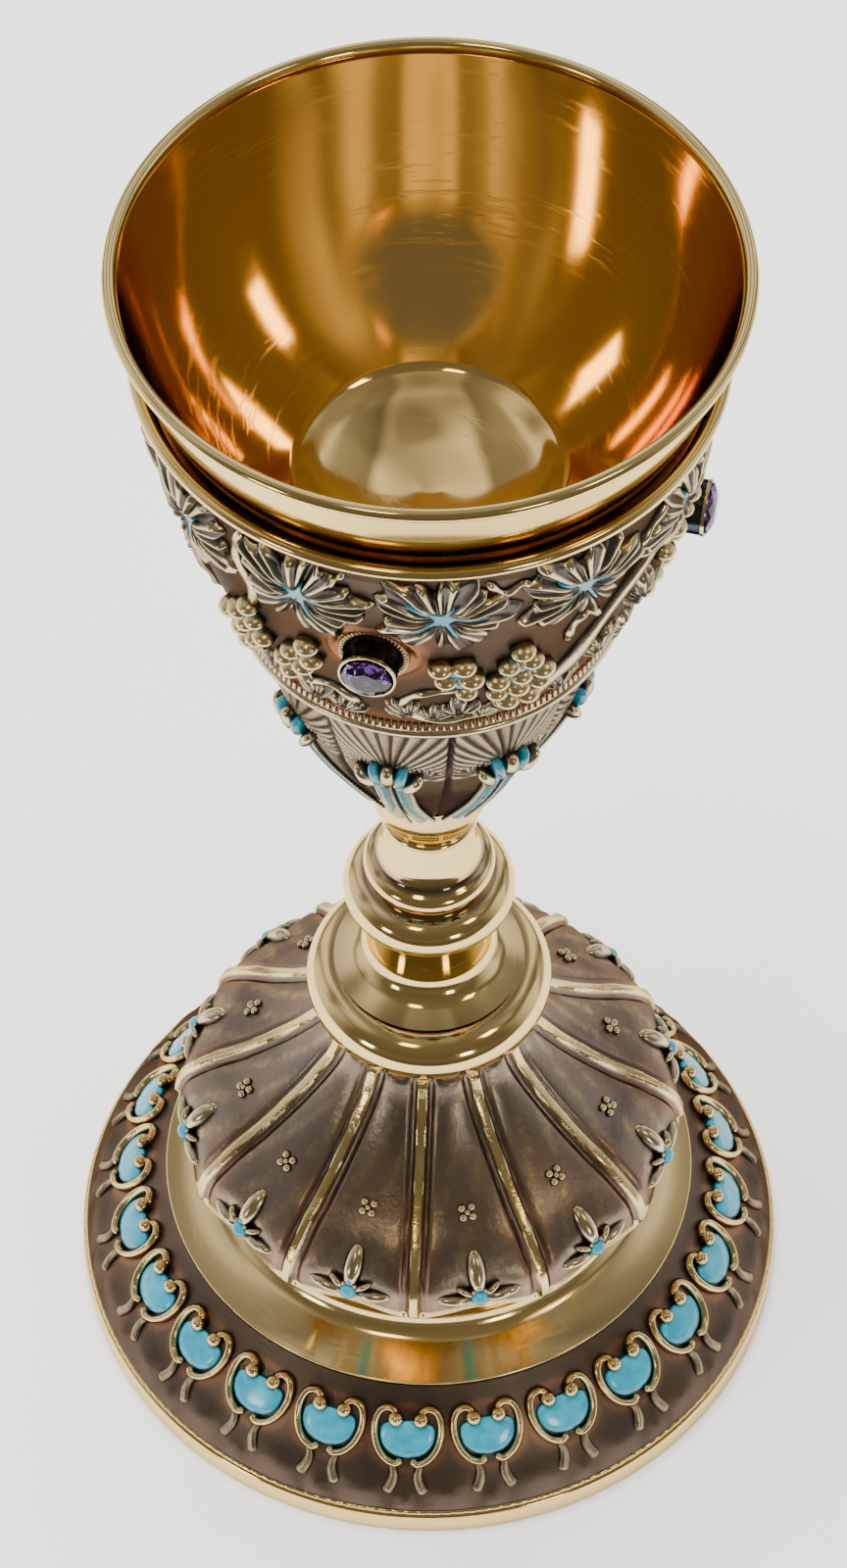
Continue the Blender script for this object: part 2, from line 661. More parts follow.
def enamel_material():
    """Glossy turquoise whose depth of colour drifts with noise, with a fine orange-peel bump."""
    material, tree, shader = fresh_material("turquoise_enamel")
    tint = use_group(tree, DRIFT, Main=(0.005, 0.17, 0.25, 1), Other=(0.02, 0.26, 0.35, 1), Scale=420.0,
                     Amount=0.8)
    where = node(tree, "ShaderNodeTexCoord")
    peel = node(tree, "ShaderNodeTexNoise", {"Scale": 600.0, "Detail": 2.0})
    relief = node(tree, "ShaderNodeBump", {"Strength": 0.15, "Distance": 0.0002})
    wire(tree, (tint, "Color", shader, "Base Color"), (where, "Object", peel, "Vector"),
         (peel, "Fac", relief, "Height"), (relief, "Normal", shader, "Normal"))
    shader.inputs["Roughness"].default_value = 0.2
    shader.inputs["Coat Weight"].default_value = 0.6
    shader.inputs["Coat Roughness"].default_value = 0.08
    return material


def amethyst_material():
    """Clear violet: full transmission with the colour drifting between two violets."""
    material, tree, shader = fresh_material("amethyst")
    tint = use_group(tree, DRIFT, Main=(0.10, 0.035, 0.17, 1), Other=(0.05, 0.015, 0.10, 1), Scale=160.0,
                     Amount=0.8)
    wire(tree, (tint, "Color", shader, "Base Color"))
    shader.inputs["Roughness"].default_value = 0.0
    shader.inputs["IOR"].default_value = 1.6
    shader.inputs["Transmission Weight"].default_value = 1.0
    return material


ENAMEL = enamel_material()
AMETHYST = amethyst_material()
print("enamel and stone:", ENAMEL.name, AMETHYST.name)

# %% [markdown]
# ## The bowl
# A spun bowl of two shells. The outer one is pale gilt: a shallow dished floor, a wall that swells a little
# as it opens, and a round bead at the lip. The lining is a warmer gold and stops below the bead, which
# leaves a thin dark line. A Solidify modifier could give the wall. Two turned profiles, made from one inner
# line and a depth, let each shell keep its own edge and finish.

# %% Bowl
BOWL_WALL = 1.2 * MM
BOWL_SWELL = 3.6 * MM
RIM_BEAD = 0.95 * MM
FLOOR_RADIUS = 19.1 * MM
FLOOR_RISE = 4.3 * MM
LINER_TOP = 0.956
LINER_WALL = 0.5 * MM
SHELL_START = 0.58 * MM


def bowl_line(share, depth):
    """Line from the floor's edge to the rim plus a half sine, moved out along its normal by a depth."""
    fine = np.concatenate([share, share + 0.001])
    top = RIM_RADIUS - RIM_BEAD - BOWL_WALL * 0.5
    radius = FLOOR_RADIUS + (top - FLOOR_RADIUS) * fine + BOWL_SWELL * np.sin(np.pi * fine)
    low = BOWL_LOW + BOWL_WALL + FLOOR_RISE
    line = np.stack([radius, low + (BOWL_HIGH - low) * fine], -1)
    line, ahead = line[: len(share)], line[len(share):]
    along = (ahead - line) / np.linalg.norm(ahead - line, axis=1)[:, None]
    return line + depth * np.stack([along[:, 1], -along[:, 0]], -1)


def bowl_dish(drop, count=16):
    """The dished floor from the axis to its edge, lowered by a drop."""
    z = BOWL_LOW + BOWL_WALL - drop
    return ease([(0.0, z), (0.45 * FLOOR_RADIUS, z + 0.18 * FLOOR_RISE),
                 (0.8 * FLOOR_RADIUS, z + 0.58 * FLOOR_RISE),
                 (0.985 * FLOOR_RADIUS, z + 0.97 * FLOOR_RISE)], count)


liner_share = np.linspace(0.0, LINER_TOP, 40)
liner = chain(bowl_dish(0.0), bowl_line(liner_share, 0.0), bowl_line(liner_share, LINER_WALL)[::-1],
              bowl_dish(LINER_WALL)[::-1])
build("bowl_liner", [lathe(liner)], BOWL_GILT, ["bowl"])
outside = bowl_line(np.linspace(0.0, 0.97, 40), BOWL_WALL)
bead = arc((RIM_RADIUS - RIM_BEAD, BOWL_HIGH - RIM_BEAD), RIM_BEAD, 212.0, -95.0, 28)
bottom = ease([outside[0], (0.6 * outside[0, 0], BOWL_LOW + 0.3 * FLOOR_RISE), (0.0, BOWL_LOW)], 12)
groove = bowl_line(np.array([LINER_TOP + 0.004]), 0.45 * MM)
shell = chain(bowl_dish(SHELL_START), bowl_line(liner_share, SHELL_START), groove, bead, outside[::-1],
              bottom[1:])
build("bowl_shell", [lathe(shell)], POLISHED, ["bowl"])

# %% [markdown]
# ## Sleeve bead and inner sleeve
# The sleeve ends above in a polished round bead. Between it and the bowl is a narrow dark gap, whose wall is
# the coppery lining. The two could be one turned piece with two materials. They are two meshes here, because
# the lining follows the bowl's own line a little way off, all the way down.

# %% Bead and inner sleeve
GROUND_INSET = 2.0 * MM
GROUND_SWELL = 1.5 * MM
RING_RADIUS = 27.6 * MM
LINING_GAP = 0.25 * MM
LEDGE_DROP = 0.8 * MM
FRIEZE_TOP = BEAD_Z - BEAD_TUBE
FRIEZE_LOW = CALYX_LOW + 3.4 * MM


def ground_radius(height):
    """Cone from the ring to the bead, swollen by a half sine."""
    share = (height - FRIEZE_LOW) / (FRIEZE_TOP - FRIEZE_LOW)
    low = RING_RADIUS + 0.4 * MM
    swell = GROUND_SWELL * np.sin(np.pi * np.clip(share, 0, 1))
    return low + (BEAD_RADIUS - GROUND_INSET - low) * share + swell


bead_centre = (BEAD_RADIUS - BEAD_TUBE, BEAD_Z)
build("sleeve_bead", [lathe(arc(bead_centre, BEAD_TUBE, 205.0, -155.0, 37)[:-1], loop=True)], POLISHED,
      ["calyx"])
lining = bowl_line(np.linspace(0.0, 0.8, 24), BOWL_WALL) + np.array([LINING_GAP, 0.0])
ledge = FRIEZE_TOP - LEDGE_DROP
lining = chain(lining[lining[:, 1] < ledge - 0.3 * MM],
               (np.interp(ledge, lining[:, 1], lining[:, 0]), ledge))
back_z = np.linspace(ledge, BOWL_LOW + 2.0 * MM, 14)
sleeve = chain((0.0, BOWL_LOW - 0.4 * MM), (0.6 * FLOOR_RADIUS, BOWL_LOW + 0.3 * FLOOR_RISE - 0.5 * MM),
               lining, np.stack([ground_radius(back_z) - 0.75 * MM, back_z], -1),
               (0.6 * FLOOR_RADIUS, BOWL_LOW - 1.6 * MM), (0.0, BOWL_LOW - 2.0 * MM))
build("inner_sleeve", [lathe(sleeve)], SLEEVE_GILT, ["calyx"])

# %% [markdown]
# ## Ground of the frieze
# The ground behind the vine is matted and dark, and bulges slightly from the toothed ring up to the bead.
# Round each stone it is cut back to a flat seat, where copper shows. A Boolean could cut the seats. On a grid
# the radius is simply the smaller of the swelling cone and the plane of the seat, with no stray edges.

# %% Frieze ground
STONE_START = -12.5
STONE_COUNT = 4
STONE_SEAT = 5.6 * MM
STONE_RECESS = 0.7 * MM
BACK_STEP = 22
COLLET_LOW, COLLET_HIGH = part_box("collet_1")
STONE_Z = (COLLET_LOW[2] + COLLET_HIGH[2]) / 2


def nearest(azimuth, start, count):
    """Signed angle from the nearest of evenly spaced marks, in degrees."""
    pitch = 360.0 / count
    return (azimuth - start + pitch / 2) % pitch - pitch / 2


columns = 720
azimuth = np.arange(columns)[None, :] * 360.0 / columns
height = np.linspace(FRIEZE_TOP + 0.4 * MM, FRIEZE_LOW - 0.4 * MM, 110)[:, None]
radius = ground_radius(height) + 0.0 * azimuth
off = np.radians(nearest(azimuth, STONE_START, STONE_COUNT))
seat_radius = ground_radius(STONE_Z) - STONE_RECESS
away = np.hypot(radius * np.sin(off), height - STONE_Z)
seat = np.where(away < STONE_SEAT, np.minimum(radius, seat_radius / np.cos(off)), radius)
rim = 0.35 * MM * bell(away - STONE_SEAT - 0.7 * MM, 0.45 * MM)
flare = 0.6 * MM * smoothstep(FRIEZE_TOP - 0.7 * MM, FRIEZE_TOP + 0.3 * MM, height)
ground = place(azimuth, seat + rim + flare, height)
copper = 0.75 * bell(away - STONE_SEAT, 2.2 * MM) + 0.55 * bell(height - FRIEZE_LOW, 3.0 * MM)
back_radius = ground_radius(height) - 0.7 * MM - STONE_RECESS * bell(height - STONE_Z, 9.0 * MM)
back = place(azimuth, back_radius, height)[::-BACK_STEP]
build("frieze_ground",
      [patch(np.concatenate([ground, back]), loop=True,
             wear=np.concatenate([0.12 + 0.1 * rim / (0.35 * MM), np.zeros_like(back[..., 0])]),
             tint=np.concatenate([np.clip(copper, 0, 1), np.zeros_like(back[..., 0])]))],
      GROUND, ["calyx"])
frieze = wall_table(np.stack([ground_radius(height[:, 0]), height[:, 0]], -1))

# %% [markdown]
# ## Vine leaves
# Twelve broad leaves hang under the bead. They could be sculpted one by one. Here each is a polar grid: the
# outline is the largest of five petal curves, and the height adds a cupped body, a curled edge and gouged
# ridges that fan out along each petal. The wear mask follows the ridges, where the oxide is rubbed off.

# %% Leaves
LEAF_COUNT = 12
LEAF_START = 2.5
LEAF_Z = FRIEZE_LOW + 0.78 * (FRIEZE_TOP - FRIEZE_LOW)
LEAF_LOBES = np.radians([132.0, 62.0, -4.0, -72.0, -150.0])
LEAF_LENGTHS = np.array([10.6, 9.6, 10.2, 9.6, 9.8]) * MM


def leaf_patch(wall, azimuth, spot, size, turn, lobes, lengths, relief=1.5 * MM, spread=0.82, sweeps=96,
               rows=20, seed=1.0):
    """Polar leaf: radius is the largest petal curve, height is body + curl + ridges, closed underneath.

    A petal curve is length * cos(half-turn share)^0.55 with small teeth; ridges are a cosine of the angle
    inside the petal, so that they fan out from the leaf's middle.
    """
    angle = np.linspace(0.0, math.tau, sweeps, endpoint=False)
    inside = (angle[None, :] - lobes[:, None] + math.pi) % math.tau - math.pi
    reach = np.clip(np.abs(inside) / spread, 0.0, 1.0)
    curve = lengths[:, None] * np.cos(reach * math.pi / 2) ** 0.55
    curve = curve * (1.0 + 0.10 * np.cos(inside * 14.0 + seed))
    best = np.argmax(curve, axis=0)
    outline = np.maximum(curve.max(0), 0.34 * lengths.mean())
    own = inside[best, np.arange(sweeps)]
    share = np.linspace(0.0, 1.0, rows)[:, None] ** 0.8
    ridge = 0.5 + 0.5 * np.cos(own[None, :] * 24.0 + 1.3 * seed * np.sign(own)[None, :])
    fade = smoothstep(0.18, 0.45, share)
    vein = bell(own[None, :] * outline[None, :] * share / MM, 0.42) * smoothstep(0.05, 0.2, share)
    valley = smoothstep(0.75, 1.0, np.abs(own)[None, :] / spread) * smoothstep(0.3, 0.7, share)
    cup = np.sin(np.pi * np.clip(share, 0, 1) ** 0.9) ** 1.2
    body = 0.42 + 0.75 * cup + 0.25 * smoothstep(0.6, 0.95, share)
    out = relief * (body + 0.42 * fade * (ridge - 0.5) - 0.35 * vein - 0.45 * valley)
    edge = smoothstep(1.0, 0.93, share)
    out = out * (0.35 + 0.65 * edge)
    rubbed = 0.12 + 0.9 * fade * ridge**1.7 + 0.3 * smoothstep(0.84, 0.97, share)
    wear = np.clip(rubbed - 0.6 * vein - 0.3 * valley, 0, 1) * (0.4 + 0.6 * smoothstep(0.1, 0.35, share))
    x = size * outline[None, :] * share * np.cos(angle + turn)[None, :]
    y = size * outline[None, :] * share * np.sin(angle + turn)[None, :]
    skirt = -0.5 * MM
    x = np.concatenate([x[1:], x[-1:] * 1.02, 0.5 * x[-1:]])
    y = np.concatenate([y[1:], y[-1:] * 1.02, 0.5 * y[-1:]])
    out = np.concatenate([out[1:] * min(size, 1.0), np.full_like(out[:2], skirt)])
    wear = np.concatenate([wear[1:], np.zeros_like(wear[:2])])
    points = lay(wall, azimuth, spot, x, y, out)
    return capped(points, wear=wear)


def leaf_turn(k):
    """A small turn for each leaf, so that no two hang alike."""
    return 0.30 * math.sin(2.3 * k + 0.4)


leaf_azimuths = LEAF_START + np.arange(LEAF_COUNT) * 360.0 / LEAF_COUNT
leaf_spot = spot_at(frieze, LEAF_Z)
leaves = [leaf_patch(frieze, a, leaf_spot, 1.0, leaf_turn(k), LEAF_LOBES, LEAF_LENGTHS, sweeps=220, rows=22,
                     seed=1.0 + k) for k, a in enumerate(leaf_azimuths)]
build("vine_leaves", leaves, RELIEF, ["calyx"], sharp=None)

# %% [markdown]
# ## Grapes
# Bunches hang between the leaves. A particle system could scatter balls, but a chaser sets them in rows, so a
# bunch is rows of flattened balls, each row shifted by the bunch's lean and set close enough to touch. The
# pattern is drawn for half a turn and repeated on the other half.

# %% Grapes
GRAPE = 1.78 * MM
GRAPE_SPACING = 3.7 * MM
GRAPE_DROP = 4.0 * MM
GRAPE_FLATTENING = 0.68
FILLING = 1.5 * MM
HALF_TURNS = (0.0, 180.0)
BUNCHES = [
    (5.0, 0.47, -0.3, (2, 2, 1)),
    (20.5, 0.505, -0.1, (1, 2, 3, 3, 2)),
    (71.0, 0.68, 0.4, (1, 2, 2, 2, 1)),
    (-28.5, 0.465, 0.5, (1, 2, 2, 1)),
    (-44.0, 0.515, 0.4, (1, 2, 3, 2, 1)),
]
scale_radius = float(ground_radius(FRIEZE_LOW + 0.77 * (FRIEZE_TOP - FRIEZE_LOW)))


def beside(where, side):
    """Azimuth of a place that lies a length to the side of another, measured on the frieze."""
    return where + math.degrees(side / scale_radius)


def bunch_spots():
    """Azimuth and height of every grape, and of the enamel that fills the places between the rows."""
    grapes, fillings = [], []
    for half in HALF_TURNS:
        for where, share, lean, counts in BUNCHES:
            top = FRIEZE_LOW + share * (FRIEZE_TOP - FRIEZE_LOW)
            for row, count in enumerate(counts):
                low = top - row * GRAPE_DROP
                for k in range(count):
                    side = (k - (count - 1) / 2 - lean * row) * GRAPE_SPACING
                    grapes.append((beside(where + half, side), low))
                    if row and k:
                        fillings.append((beside(where + half, side - 0.5 * GRAPE_SPACING), low))
                if row:
                    side = -lean * (row - 0.5) * GRAPE_SPACING
                    fillings.append((beside(where + half, side), low + 0.5 * GRAPE_DROP))
    return np.array(grapes), np.array(fillings)


grapes, fillings = bunch_spots()
sizes = GRAPE * (1.0 + 0.06 * np.sin(np.arange(len(grapes)) * 2.7))
shift = 0.2 * MM * np.sin(np.arange(len(grapes)) * 5.1)
grape_balls = balls(frieze, grapes[:, 0], spot_at(frieze, grapes[:, 1]), shift, -shift, sizes, 0.7 * MM,
                    20, 13, oval=GRAPE_FLATTENING)
build("vine_grapes", [grape_balls], GRAPE_SILVER, ["calyx"], sharp=None)
enamel_patches = [balls(frieze, fillings[:, 0], spot_at(frieze, fillings[:, 1]), 0.0, 0.0, FILLING, 0.1 * MM,
                        12, 7, squash=0.8)]

# %% [markdown]
# ## Branches, tendrils and tufts
# The vine's stems run slantwise from under the bead to the toothed ring. A curve with a bevel could draw
# them. A ridged oval carried along an eased line on the wall's own table gives the same, and stays half sunk
# in the ground. Tufts of small acanthus leaves grow along the ring: the leaf function with three petals.

# %% Branches and tufts
BRANCHES = [
    ([(73, 0.97), (62, 0.82), (52, 0.66), (43, 0.44), (36, 0.24), (27, 0.07)], 0.95),
    ([(60, 0.97), (52, 0.84), (47, 0.74)], 0.7),
    ([(-8.5, 0.16), (-3, 0.25), (4, 0.28), (11, 0.33)], 0.6),
    ([(-7, 0.12), (-1, 0.05), (8, 0.045), (17, 0.07), (27, 0.12)], 0.6),
    ([(11, 0.93), (15, 0.86), (19, 0.89), (23, 0.80)], 0.55),
    ([(41, 0.50), (36, 0.56), (33, 0.50), (33, 0.42)], 0.6),
    ([(-19, 0.12), (-26, 0.20), (-36, 0.14), (-47, 0.10), (-57, 0.16)], 0.7),
    ([(-17, 0.95), (-20, 0.86), (-17, 0.78)], 0.5),
    ([(-40, 0.95), (-43, 0.80), (-41, 0.62), (-45, 0.45)], 0.7),
    ([(-62, 0.62), (-68, 0.42), (-74, 0.2), (-82, 0.06)], 0.9),
]
TUFTS = [(-30.5, 0.11, 0.50, 1.9), (-24.0, 0.07, 0.42, 1.2), (-5.5, 0.12, 0.42, 2.2), (0.5, 0.09, 0.36, 1.3),
         (7.5, 0.12, 0.46, 1.6), (14.0, 0.07, 0.36, 1.0), (20.5, 0.10, 0.40, 1.9), (46.0, 0.20, 0.52, 0.9),
         (55.5, 0.40, 0.72, 0.4), (-45.0, 0.09, 0.44, 1.6), (-58.0, 0.10, 0.48, 1.4), (63.0, 0.10, 0.5, 1.8),
         (72.0, 0.12, 0.46, 1.2), (36.0, 0.09, 0.40, 0.6), (-75.0, 0.33, 0.62, 2.4), (86.0, 0.30, 0.6, 0.8)]


def branch_path(points, count=36):
    """Flat path of a branch from its (azimuth, share of height) points."""
    foot = spot_at(frieze, FRIEZE_LOW)
    flat = [(math.radians(a) * scale_radius,
             foot - spot_at(frieze, FRIEZE_LOW + s * (FRIEZE_TOP - FRIEZE_LOW))) for a, s in points]
    return ease(flat, count)


branch_patches = []
for points, wide in BRANCHES:
    path = branch_path(points)
    share = np.linspace(0.0, 1.0, len(path))
    angle = np.degrees(path[:, 0] / scale_radius)
    spots = spot_at(frieze, FRIEZE_LOW) - path[:, 1]
    knots = 1.0 + 0.16 * np.sin(share * 19.0)
    local = np.interp(spots, frieze["s"], frieze["r"])
    true_path = np.stack([np.radians(angle) * local, path[:, 1]], -1)
    for half in HALF_TURNS:
        middle = np.radians(angle.mean()) * local
        flat = np.stack([true_path[:, 0] - middle, true_path[:, 1]], -1)
        branch_patches.append(tube(frieze, angle.mean() + half, spot_at(frieze, FRIEZE_LOW), flat,
                                   wide * knots * MM, 1.25 * wide * knots * MM, 16, 0.16, 4))
TUFT_LOBES = np.radians([150.0, 95.0, 40.0])
TUFT_LENGTHS = np.array([8.0, 10.5, 8.5]) * MM
for number, (where, share, size, turn) in enumerate(TUFTS):
    for half in HALF_TURNS:
        spot = spot_at(frieze, FRIEZE_LOW + share * (FRIEZE_TOP - FRIEZE_LOW))
        branch_patches.append(leaf_patch(frieze, where + half, spot, size, turn - 1.6, TUFT_LOBES,
                                         TUFT_LENGTHS, 2.2 * MM, 0.6, 84, 12, 0.7 + number))
build("vine_branches", branch_patches, RELIEF, ["calyx"], sharp=None)

# %% [markdown]
# ## Enamel in the leaves
# Each leaf's heart holds a drop of turquoise that runs out along the veins. It could be a second material on
# the leaf's faces. A thin polar sheet keeps its edge crisp: its outline is a small circle plus a sharp spike
# at every petal's middle.

# %% Leaf enamel
HEART_RADIUS = 1.6 * MM
SPIKES = np.array([4.6, 2.6, 4.2, 3.4, 4.0]) * MM


def heart_patch(azimuth, turn, seed):
    """Enamel star of a leaf: radius is a circle plus narrow spikes, lifted just above the leaf's hollow."""
    angle = np.linspace(0.0, math.tau, 90, endpoint=False)
    inside = (angle[None, :] - LEAF_LOBES[:, None] + math.pi) % math.tau - math.pi
    spikes = (SPIKES[:, None] * bell(inside, 0.10)).sum(0)
    outline = HEART_RADIUS + 0.25 * MM * np.sin(3 * angle + seed) + spikes
    share = np.array([0.35, 0.75, 1.0, 1.0])[:, None]
    out = np.array([1.25, 1.3, 1.2, -0.2])[:, None] * MM
    out = out + 0.45 * MM * smoothstep(HEART_RADIUS, 2.5 * HEART_RADIUS, outline * share)
    x = outline * share * np.cos(angle + turn)
    y = outline * share * np.sin(angle + turn)
    return capped(lay(frieze, azimuth, leaf_spot, x, y, out))


enamel_patches += [heart_patch(a, leaf_turn(k), 1.0 + k) for k, a in enumerate(leaf_azimuths)]
build("vine_enamel", enamel_patches, ENAMEL, ["calyx"], sharp=None)

# %% [markdown]
# ## Toothed ring
# A gilt ring closes the frieze below: a plain rounded band, and above it a row of small square teeth with
# copper showing between them. An Array modifier could repeat one tooth. Here the teeth are a column mask on
# a fine grid, steep on both sides, so ring and teeth are one closed mesh.

# %% Toothed ring
TEETH = 176
TOOTH_DEPTH = 0.55 * MM
columns = TEETH * 8
azimuth = np.arange(columns)[None, :] * 360.0 / columns
across = np.abs(nearest(azimuth, 0.0, TEETH)) / (180.0 / TEETH)
band_radius = RING_RADIUS + 0.9 * MM
section = chain((RING_RADIUS - 0.6 * MM, FRIEZE_LOW + 0.2 * MM),
                (band_radius - 0.1 * MM, FRIEZE_LOW + 0.1 * MM),
                (band_radius + 0.1 * MM, FRIEZE_LOW - 0.3 * MM),
                (band_radius + 0.1 * MM, FRIEZE_LOW - 1.1 * MM),
                (band_radius - 0.35 * MM, FRIEZE_LOW - 1.35 * MM),
                arc((band_radius - 0.75 * MM, CALYX_LOW + 0.95 * MM), 0.95 * MM, 75.0, -80.0, 12),
                (RING_RADIUS - 0.7 * MM, CALYX_LOW), (RING_RADIUS - 3.2 * MM, CALYX_LOW),
                (RING_RADIUS - 3.2 * MM, FRIEZE_LOW - 0.2 * MM))
toothed = np.zeros(len(section))
toothed[1:4] = 1.0
gap = smoothstep(0.42, 0.62, across) * toothed[:, None]
points = place(azimuth, section[:, :1] - TOOTH_DEPTH * gap, section[:, 1:] + 0.0 * gap)
build("toothed_ring",
      [patch(points, loop=True, wear=0.82 - 0.75 * gap, tint=0.7 * gap)],
      RELIEF, ["calyx"])

# %% [markdown]
# ## Cup of fans
# Below the ring eight fan-shaped leaves close the sleeve. On each the pleats radiate from a bud a little
# above the middle. They could be a bump texture, but they catch the light at the outline too, so they are
# real: in flat coordinates round the bud, a pleat is the absolute cosine of the angle, which makes the
# grooves sharp and the ridges round. Between the fans lies a deep seam.

# %% Fans
FAN_COUNT = 8
FAN_START = 7.5
FAN_SWELL = 2.4 * MM
NECK_RADIUS = 10.0 * MM
PLEAT_PITCH = math.radians(9.6)
PLEAT_DEPTH = 0.42 * MM
SEAM_DEPTH = 0.75 * MM
BUD_SHARE = 0.62
FAN_EDGE = RING_RADIUS - 0.8 * MM


def fan_radius(share):
    """Cone from the neck to the ring, swollen by a half sine."""
    return NECK_RADIUS + (FAN_EDGE - NECK_RADIUS) * share + FAN_SWELL * np.sin(np.pi * share)


fan_height = FAN_HIGH - FAN_LOW
share = np.linspace(1.0, 0.0, 96)[:, None]
columns = FAN_COUNT * 120
azimuth = FAN_START + np.arange(columns)[None, :] * 360.0 / columns
pitch = 360.0 / FAN_COUNT
side = nearest(azimuth, FAN_START + pitch / 2, FAN_COUNT) / (pitch / 2)
base_radius = fan_radius(share)
flat_x = np.radians(side * pitch / 2) * base_radius
fall = np.linspace(1.0, 0.0, 120)
fan_wall = wall_table(np.stack([fan_radius(fall), FAN_LOW + fan_height * fall], -1))
bud_spot = spot_at(fan_wall, FAN_LOW + fan_height * BUD_SHARE)
flat_y = bud_spot - spot_at(fan_wall, FAN_LOW + fan_height * share)
bearing = np.arctan2(flat_x, flat_y)
distance = np.hypot(flat_x, flat_y)
pleat = np.abs(np.cos(math.pi * bearing / PLEAT_PITCH)) ** 0.6
fan_zone = (smoothstep(1.95, 1.70, np.abs(bearing)) * smoothstep(2.6 * MM, 4.2 * MM, distance)
            * smoothstep(1.0, 0.93, np.abs(side)))
seam = bell((1.0 - np.abs(side)) * np.radians(pitch / 2) * base_radius, 0.55 * MM)
shoulder = 0.9 * MM * np.abs(side) ** 5 * (0.4 + 0.6 * share)
lip = 0.35 * MM * bell(distance * np.abs(np.sin(bearing)) - 8.8 * MM, 1.0 * MM)
lip = lip * smoothstep(1.4, 1.8, np.abs(bearing))
radius = (base_radius - SEAM_DEPTH * seam * (0.4 + 0.6 * share) - shoulder
          + fan_zone * PLEAT_DEPTH * (pleat - 1.0) + lip * (1.0 - fan_zone) - 0.15 * MM)
wear = np.clip(0.42 + 0.30 * share + 0.0 * radius, 0, 1) * (1.0 - 0.9 * seam)
wear = wear * (1.0 - fan_zone) + fan_zone * np.clip(pleat ** 1.6 * 1.15 - 0.08, 0, 1) * (1.0 - 0.8 * seam)
low_dark = smoothstep(0.5, 0.25, share) * 0.38
points = place(azimuth, radius, FAN_LOW + fan_height * share)
inside = np.array([1.0, 0.6, 0.3, 0.12, 0.0])[::-1][:, None]
inner = place(azimuth, np.maximum(fan_radius(inside) - 3.4 * MM, 5.5 * MM), FAN_LOW + fan_height * inside)
build("fan_leaves",
      [patch(np.concatenate([points, inner]), loop=True,
             wear=np.concatenate([np.clip(wear - low_dark, 0, 1), np.zeros(inner.shape[:2])]))],
      FAN_SILVER, ["fan_cup"])

# %% [markdown]
# ## Buds and stalks
# On every fan sits a flower bud: three silver sepals with two enamelled ones between. Two enamelled strips
# run down from it to the neck, edged by rows of tiny beads. All eight could be copies of one object. They are
# one grid with eight copies, so silver and enamel stay one mesh each.

# %% Buds and stalks
BEAD_STEP = 0.92 * MM
fan_azimuths = FAN_START + pitch / 2 + np.arange(FAN_COUNT) * pitch


def petals(wall, azimuths, spot, across, up, lean, wide, long, lift, tall, rows=12, sides=20, point=1.0):
    """Almond-shaped bumps: half the width is wide * sin(t)^point along the length, under a flat dome."""
    t = np.linspace(0.06, math.pi - 0.06, rows)[:, None]
    a = np.arange(sides)[None, :] * math.tau / sides
    u = wide * np.sin(t) ** point * np.cos(a)
    v = -long * np.cos(t) + 0.0 * a
    x = across + u * math.cos(lean) + v * math.sin(lean)
    y = up - u * math.sin(lean) + v * math.cos(lean)
    out = lift + tall * np.sin(t) ** 0.8 * np.sin(a)
    points = lay(wall, np.asarray(azimuths, float).reshape(-1, 1, 1), spot, x[None], y[None], out[None])
    streak = 0.5 + 0.5 * np.cos(a * 6.0 + 0.6)
    wear = np.clip(0.1 + 0.75 * smoothstep(0.1, 0.8, np.sin(a)) + 0.25 * streak - 0.1, 0, 1) + 0.0 * t
    return capped(points, wear=wear[None])


bud_silver, bud_enamel = [], []
for k in range(-2, 3):
    shape = (1.7 * k * MM, (0.7 - 0.42 * k * k) * MM, 0.26 * k, (1.3 if k == 0 else 1.0) * MM, 2.8 * MM)
    made = petals(fan_wall, fan_azimuths, bud_spot, *shape, 0.25 * MM, (1.9 if k % 2 == 0 else 1.65) * MM,
                  point=0.75)
    (bud_silver if k % 2 == 0 else bud_enamel).append(made)
stalk_length = bud_spot - spot_at(fan_wall, FAN_LOW + 0.4 * MM)


def stalk_spread(run):
    """How far the two strips stand apart along the stalk, as a share of the width at its middle."""
    return np.interp(-run, [2.2 * MM, 6 * MM, 16 * MM, -stalk_length], [1.35, 1.0, 0.95, 1.25])


run = np.linspace(-2.2 * MM, stalk_length + 0.3 * MM, 40)
narrow = stalk_spread(run)
for side in (-1, 1):
    path = np.stack([side * 1.3 * narrow * MM, run], -1)
    bud_enamel.append(tube(fan_wall, fan_azimuths, bud_spot, path, narrow * MM, 1.05 * MM, 12))
bead_run = np.arange(-2.4 * MM, stalk_length, -BEAD_STEP)
bead_azimuths, bead_runs = (grid.ravel() for grid in np.meshgrid(fan_azimuths, bead_run, indexing="ij"))
for side in (-1, 0, 1):
    beside_strip = side * 2.6 * stalk_spread(bead_runs) * MM
    bud_silver.append(balls(fan_wall, bead_azimuths, bud_spot, beside_strip, bead_runs,
                            (0.26 + 0.14 * abs(side)) * MM, (0.85 - 0.6 * abs(side)) * MM, 9, 6))
build("bud_sepals", bud_silver, RELIEF, ["fan_cup"], sharp=None)
build("stalk_enamel", bud_enamel, ENAMEL, ["fan_cup"], sharp=None)

# %% [markdown]
# ## Collets
# A stone sits in a tall tube set straight out from the wall, on a twisted rope ring. The tube and rope are
# turned round a local axis and then stood on the wall, which is simpler than bending them there.

# %% Collets
STONE_RADIUS = 3.7 * MM
COLLET_RADIUS = STONE_RADIUS + 0.4 * MM
COLLET_HEIGHT = 5.2 * MM
ROPE_RADIUS = 4.5 * MM
COLLET_NODES = [f"collet_{k + 1}" for k in range(STONE_COUNT)]


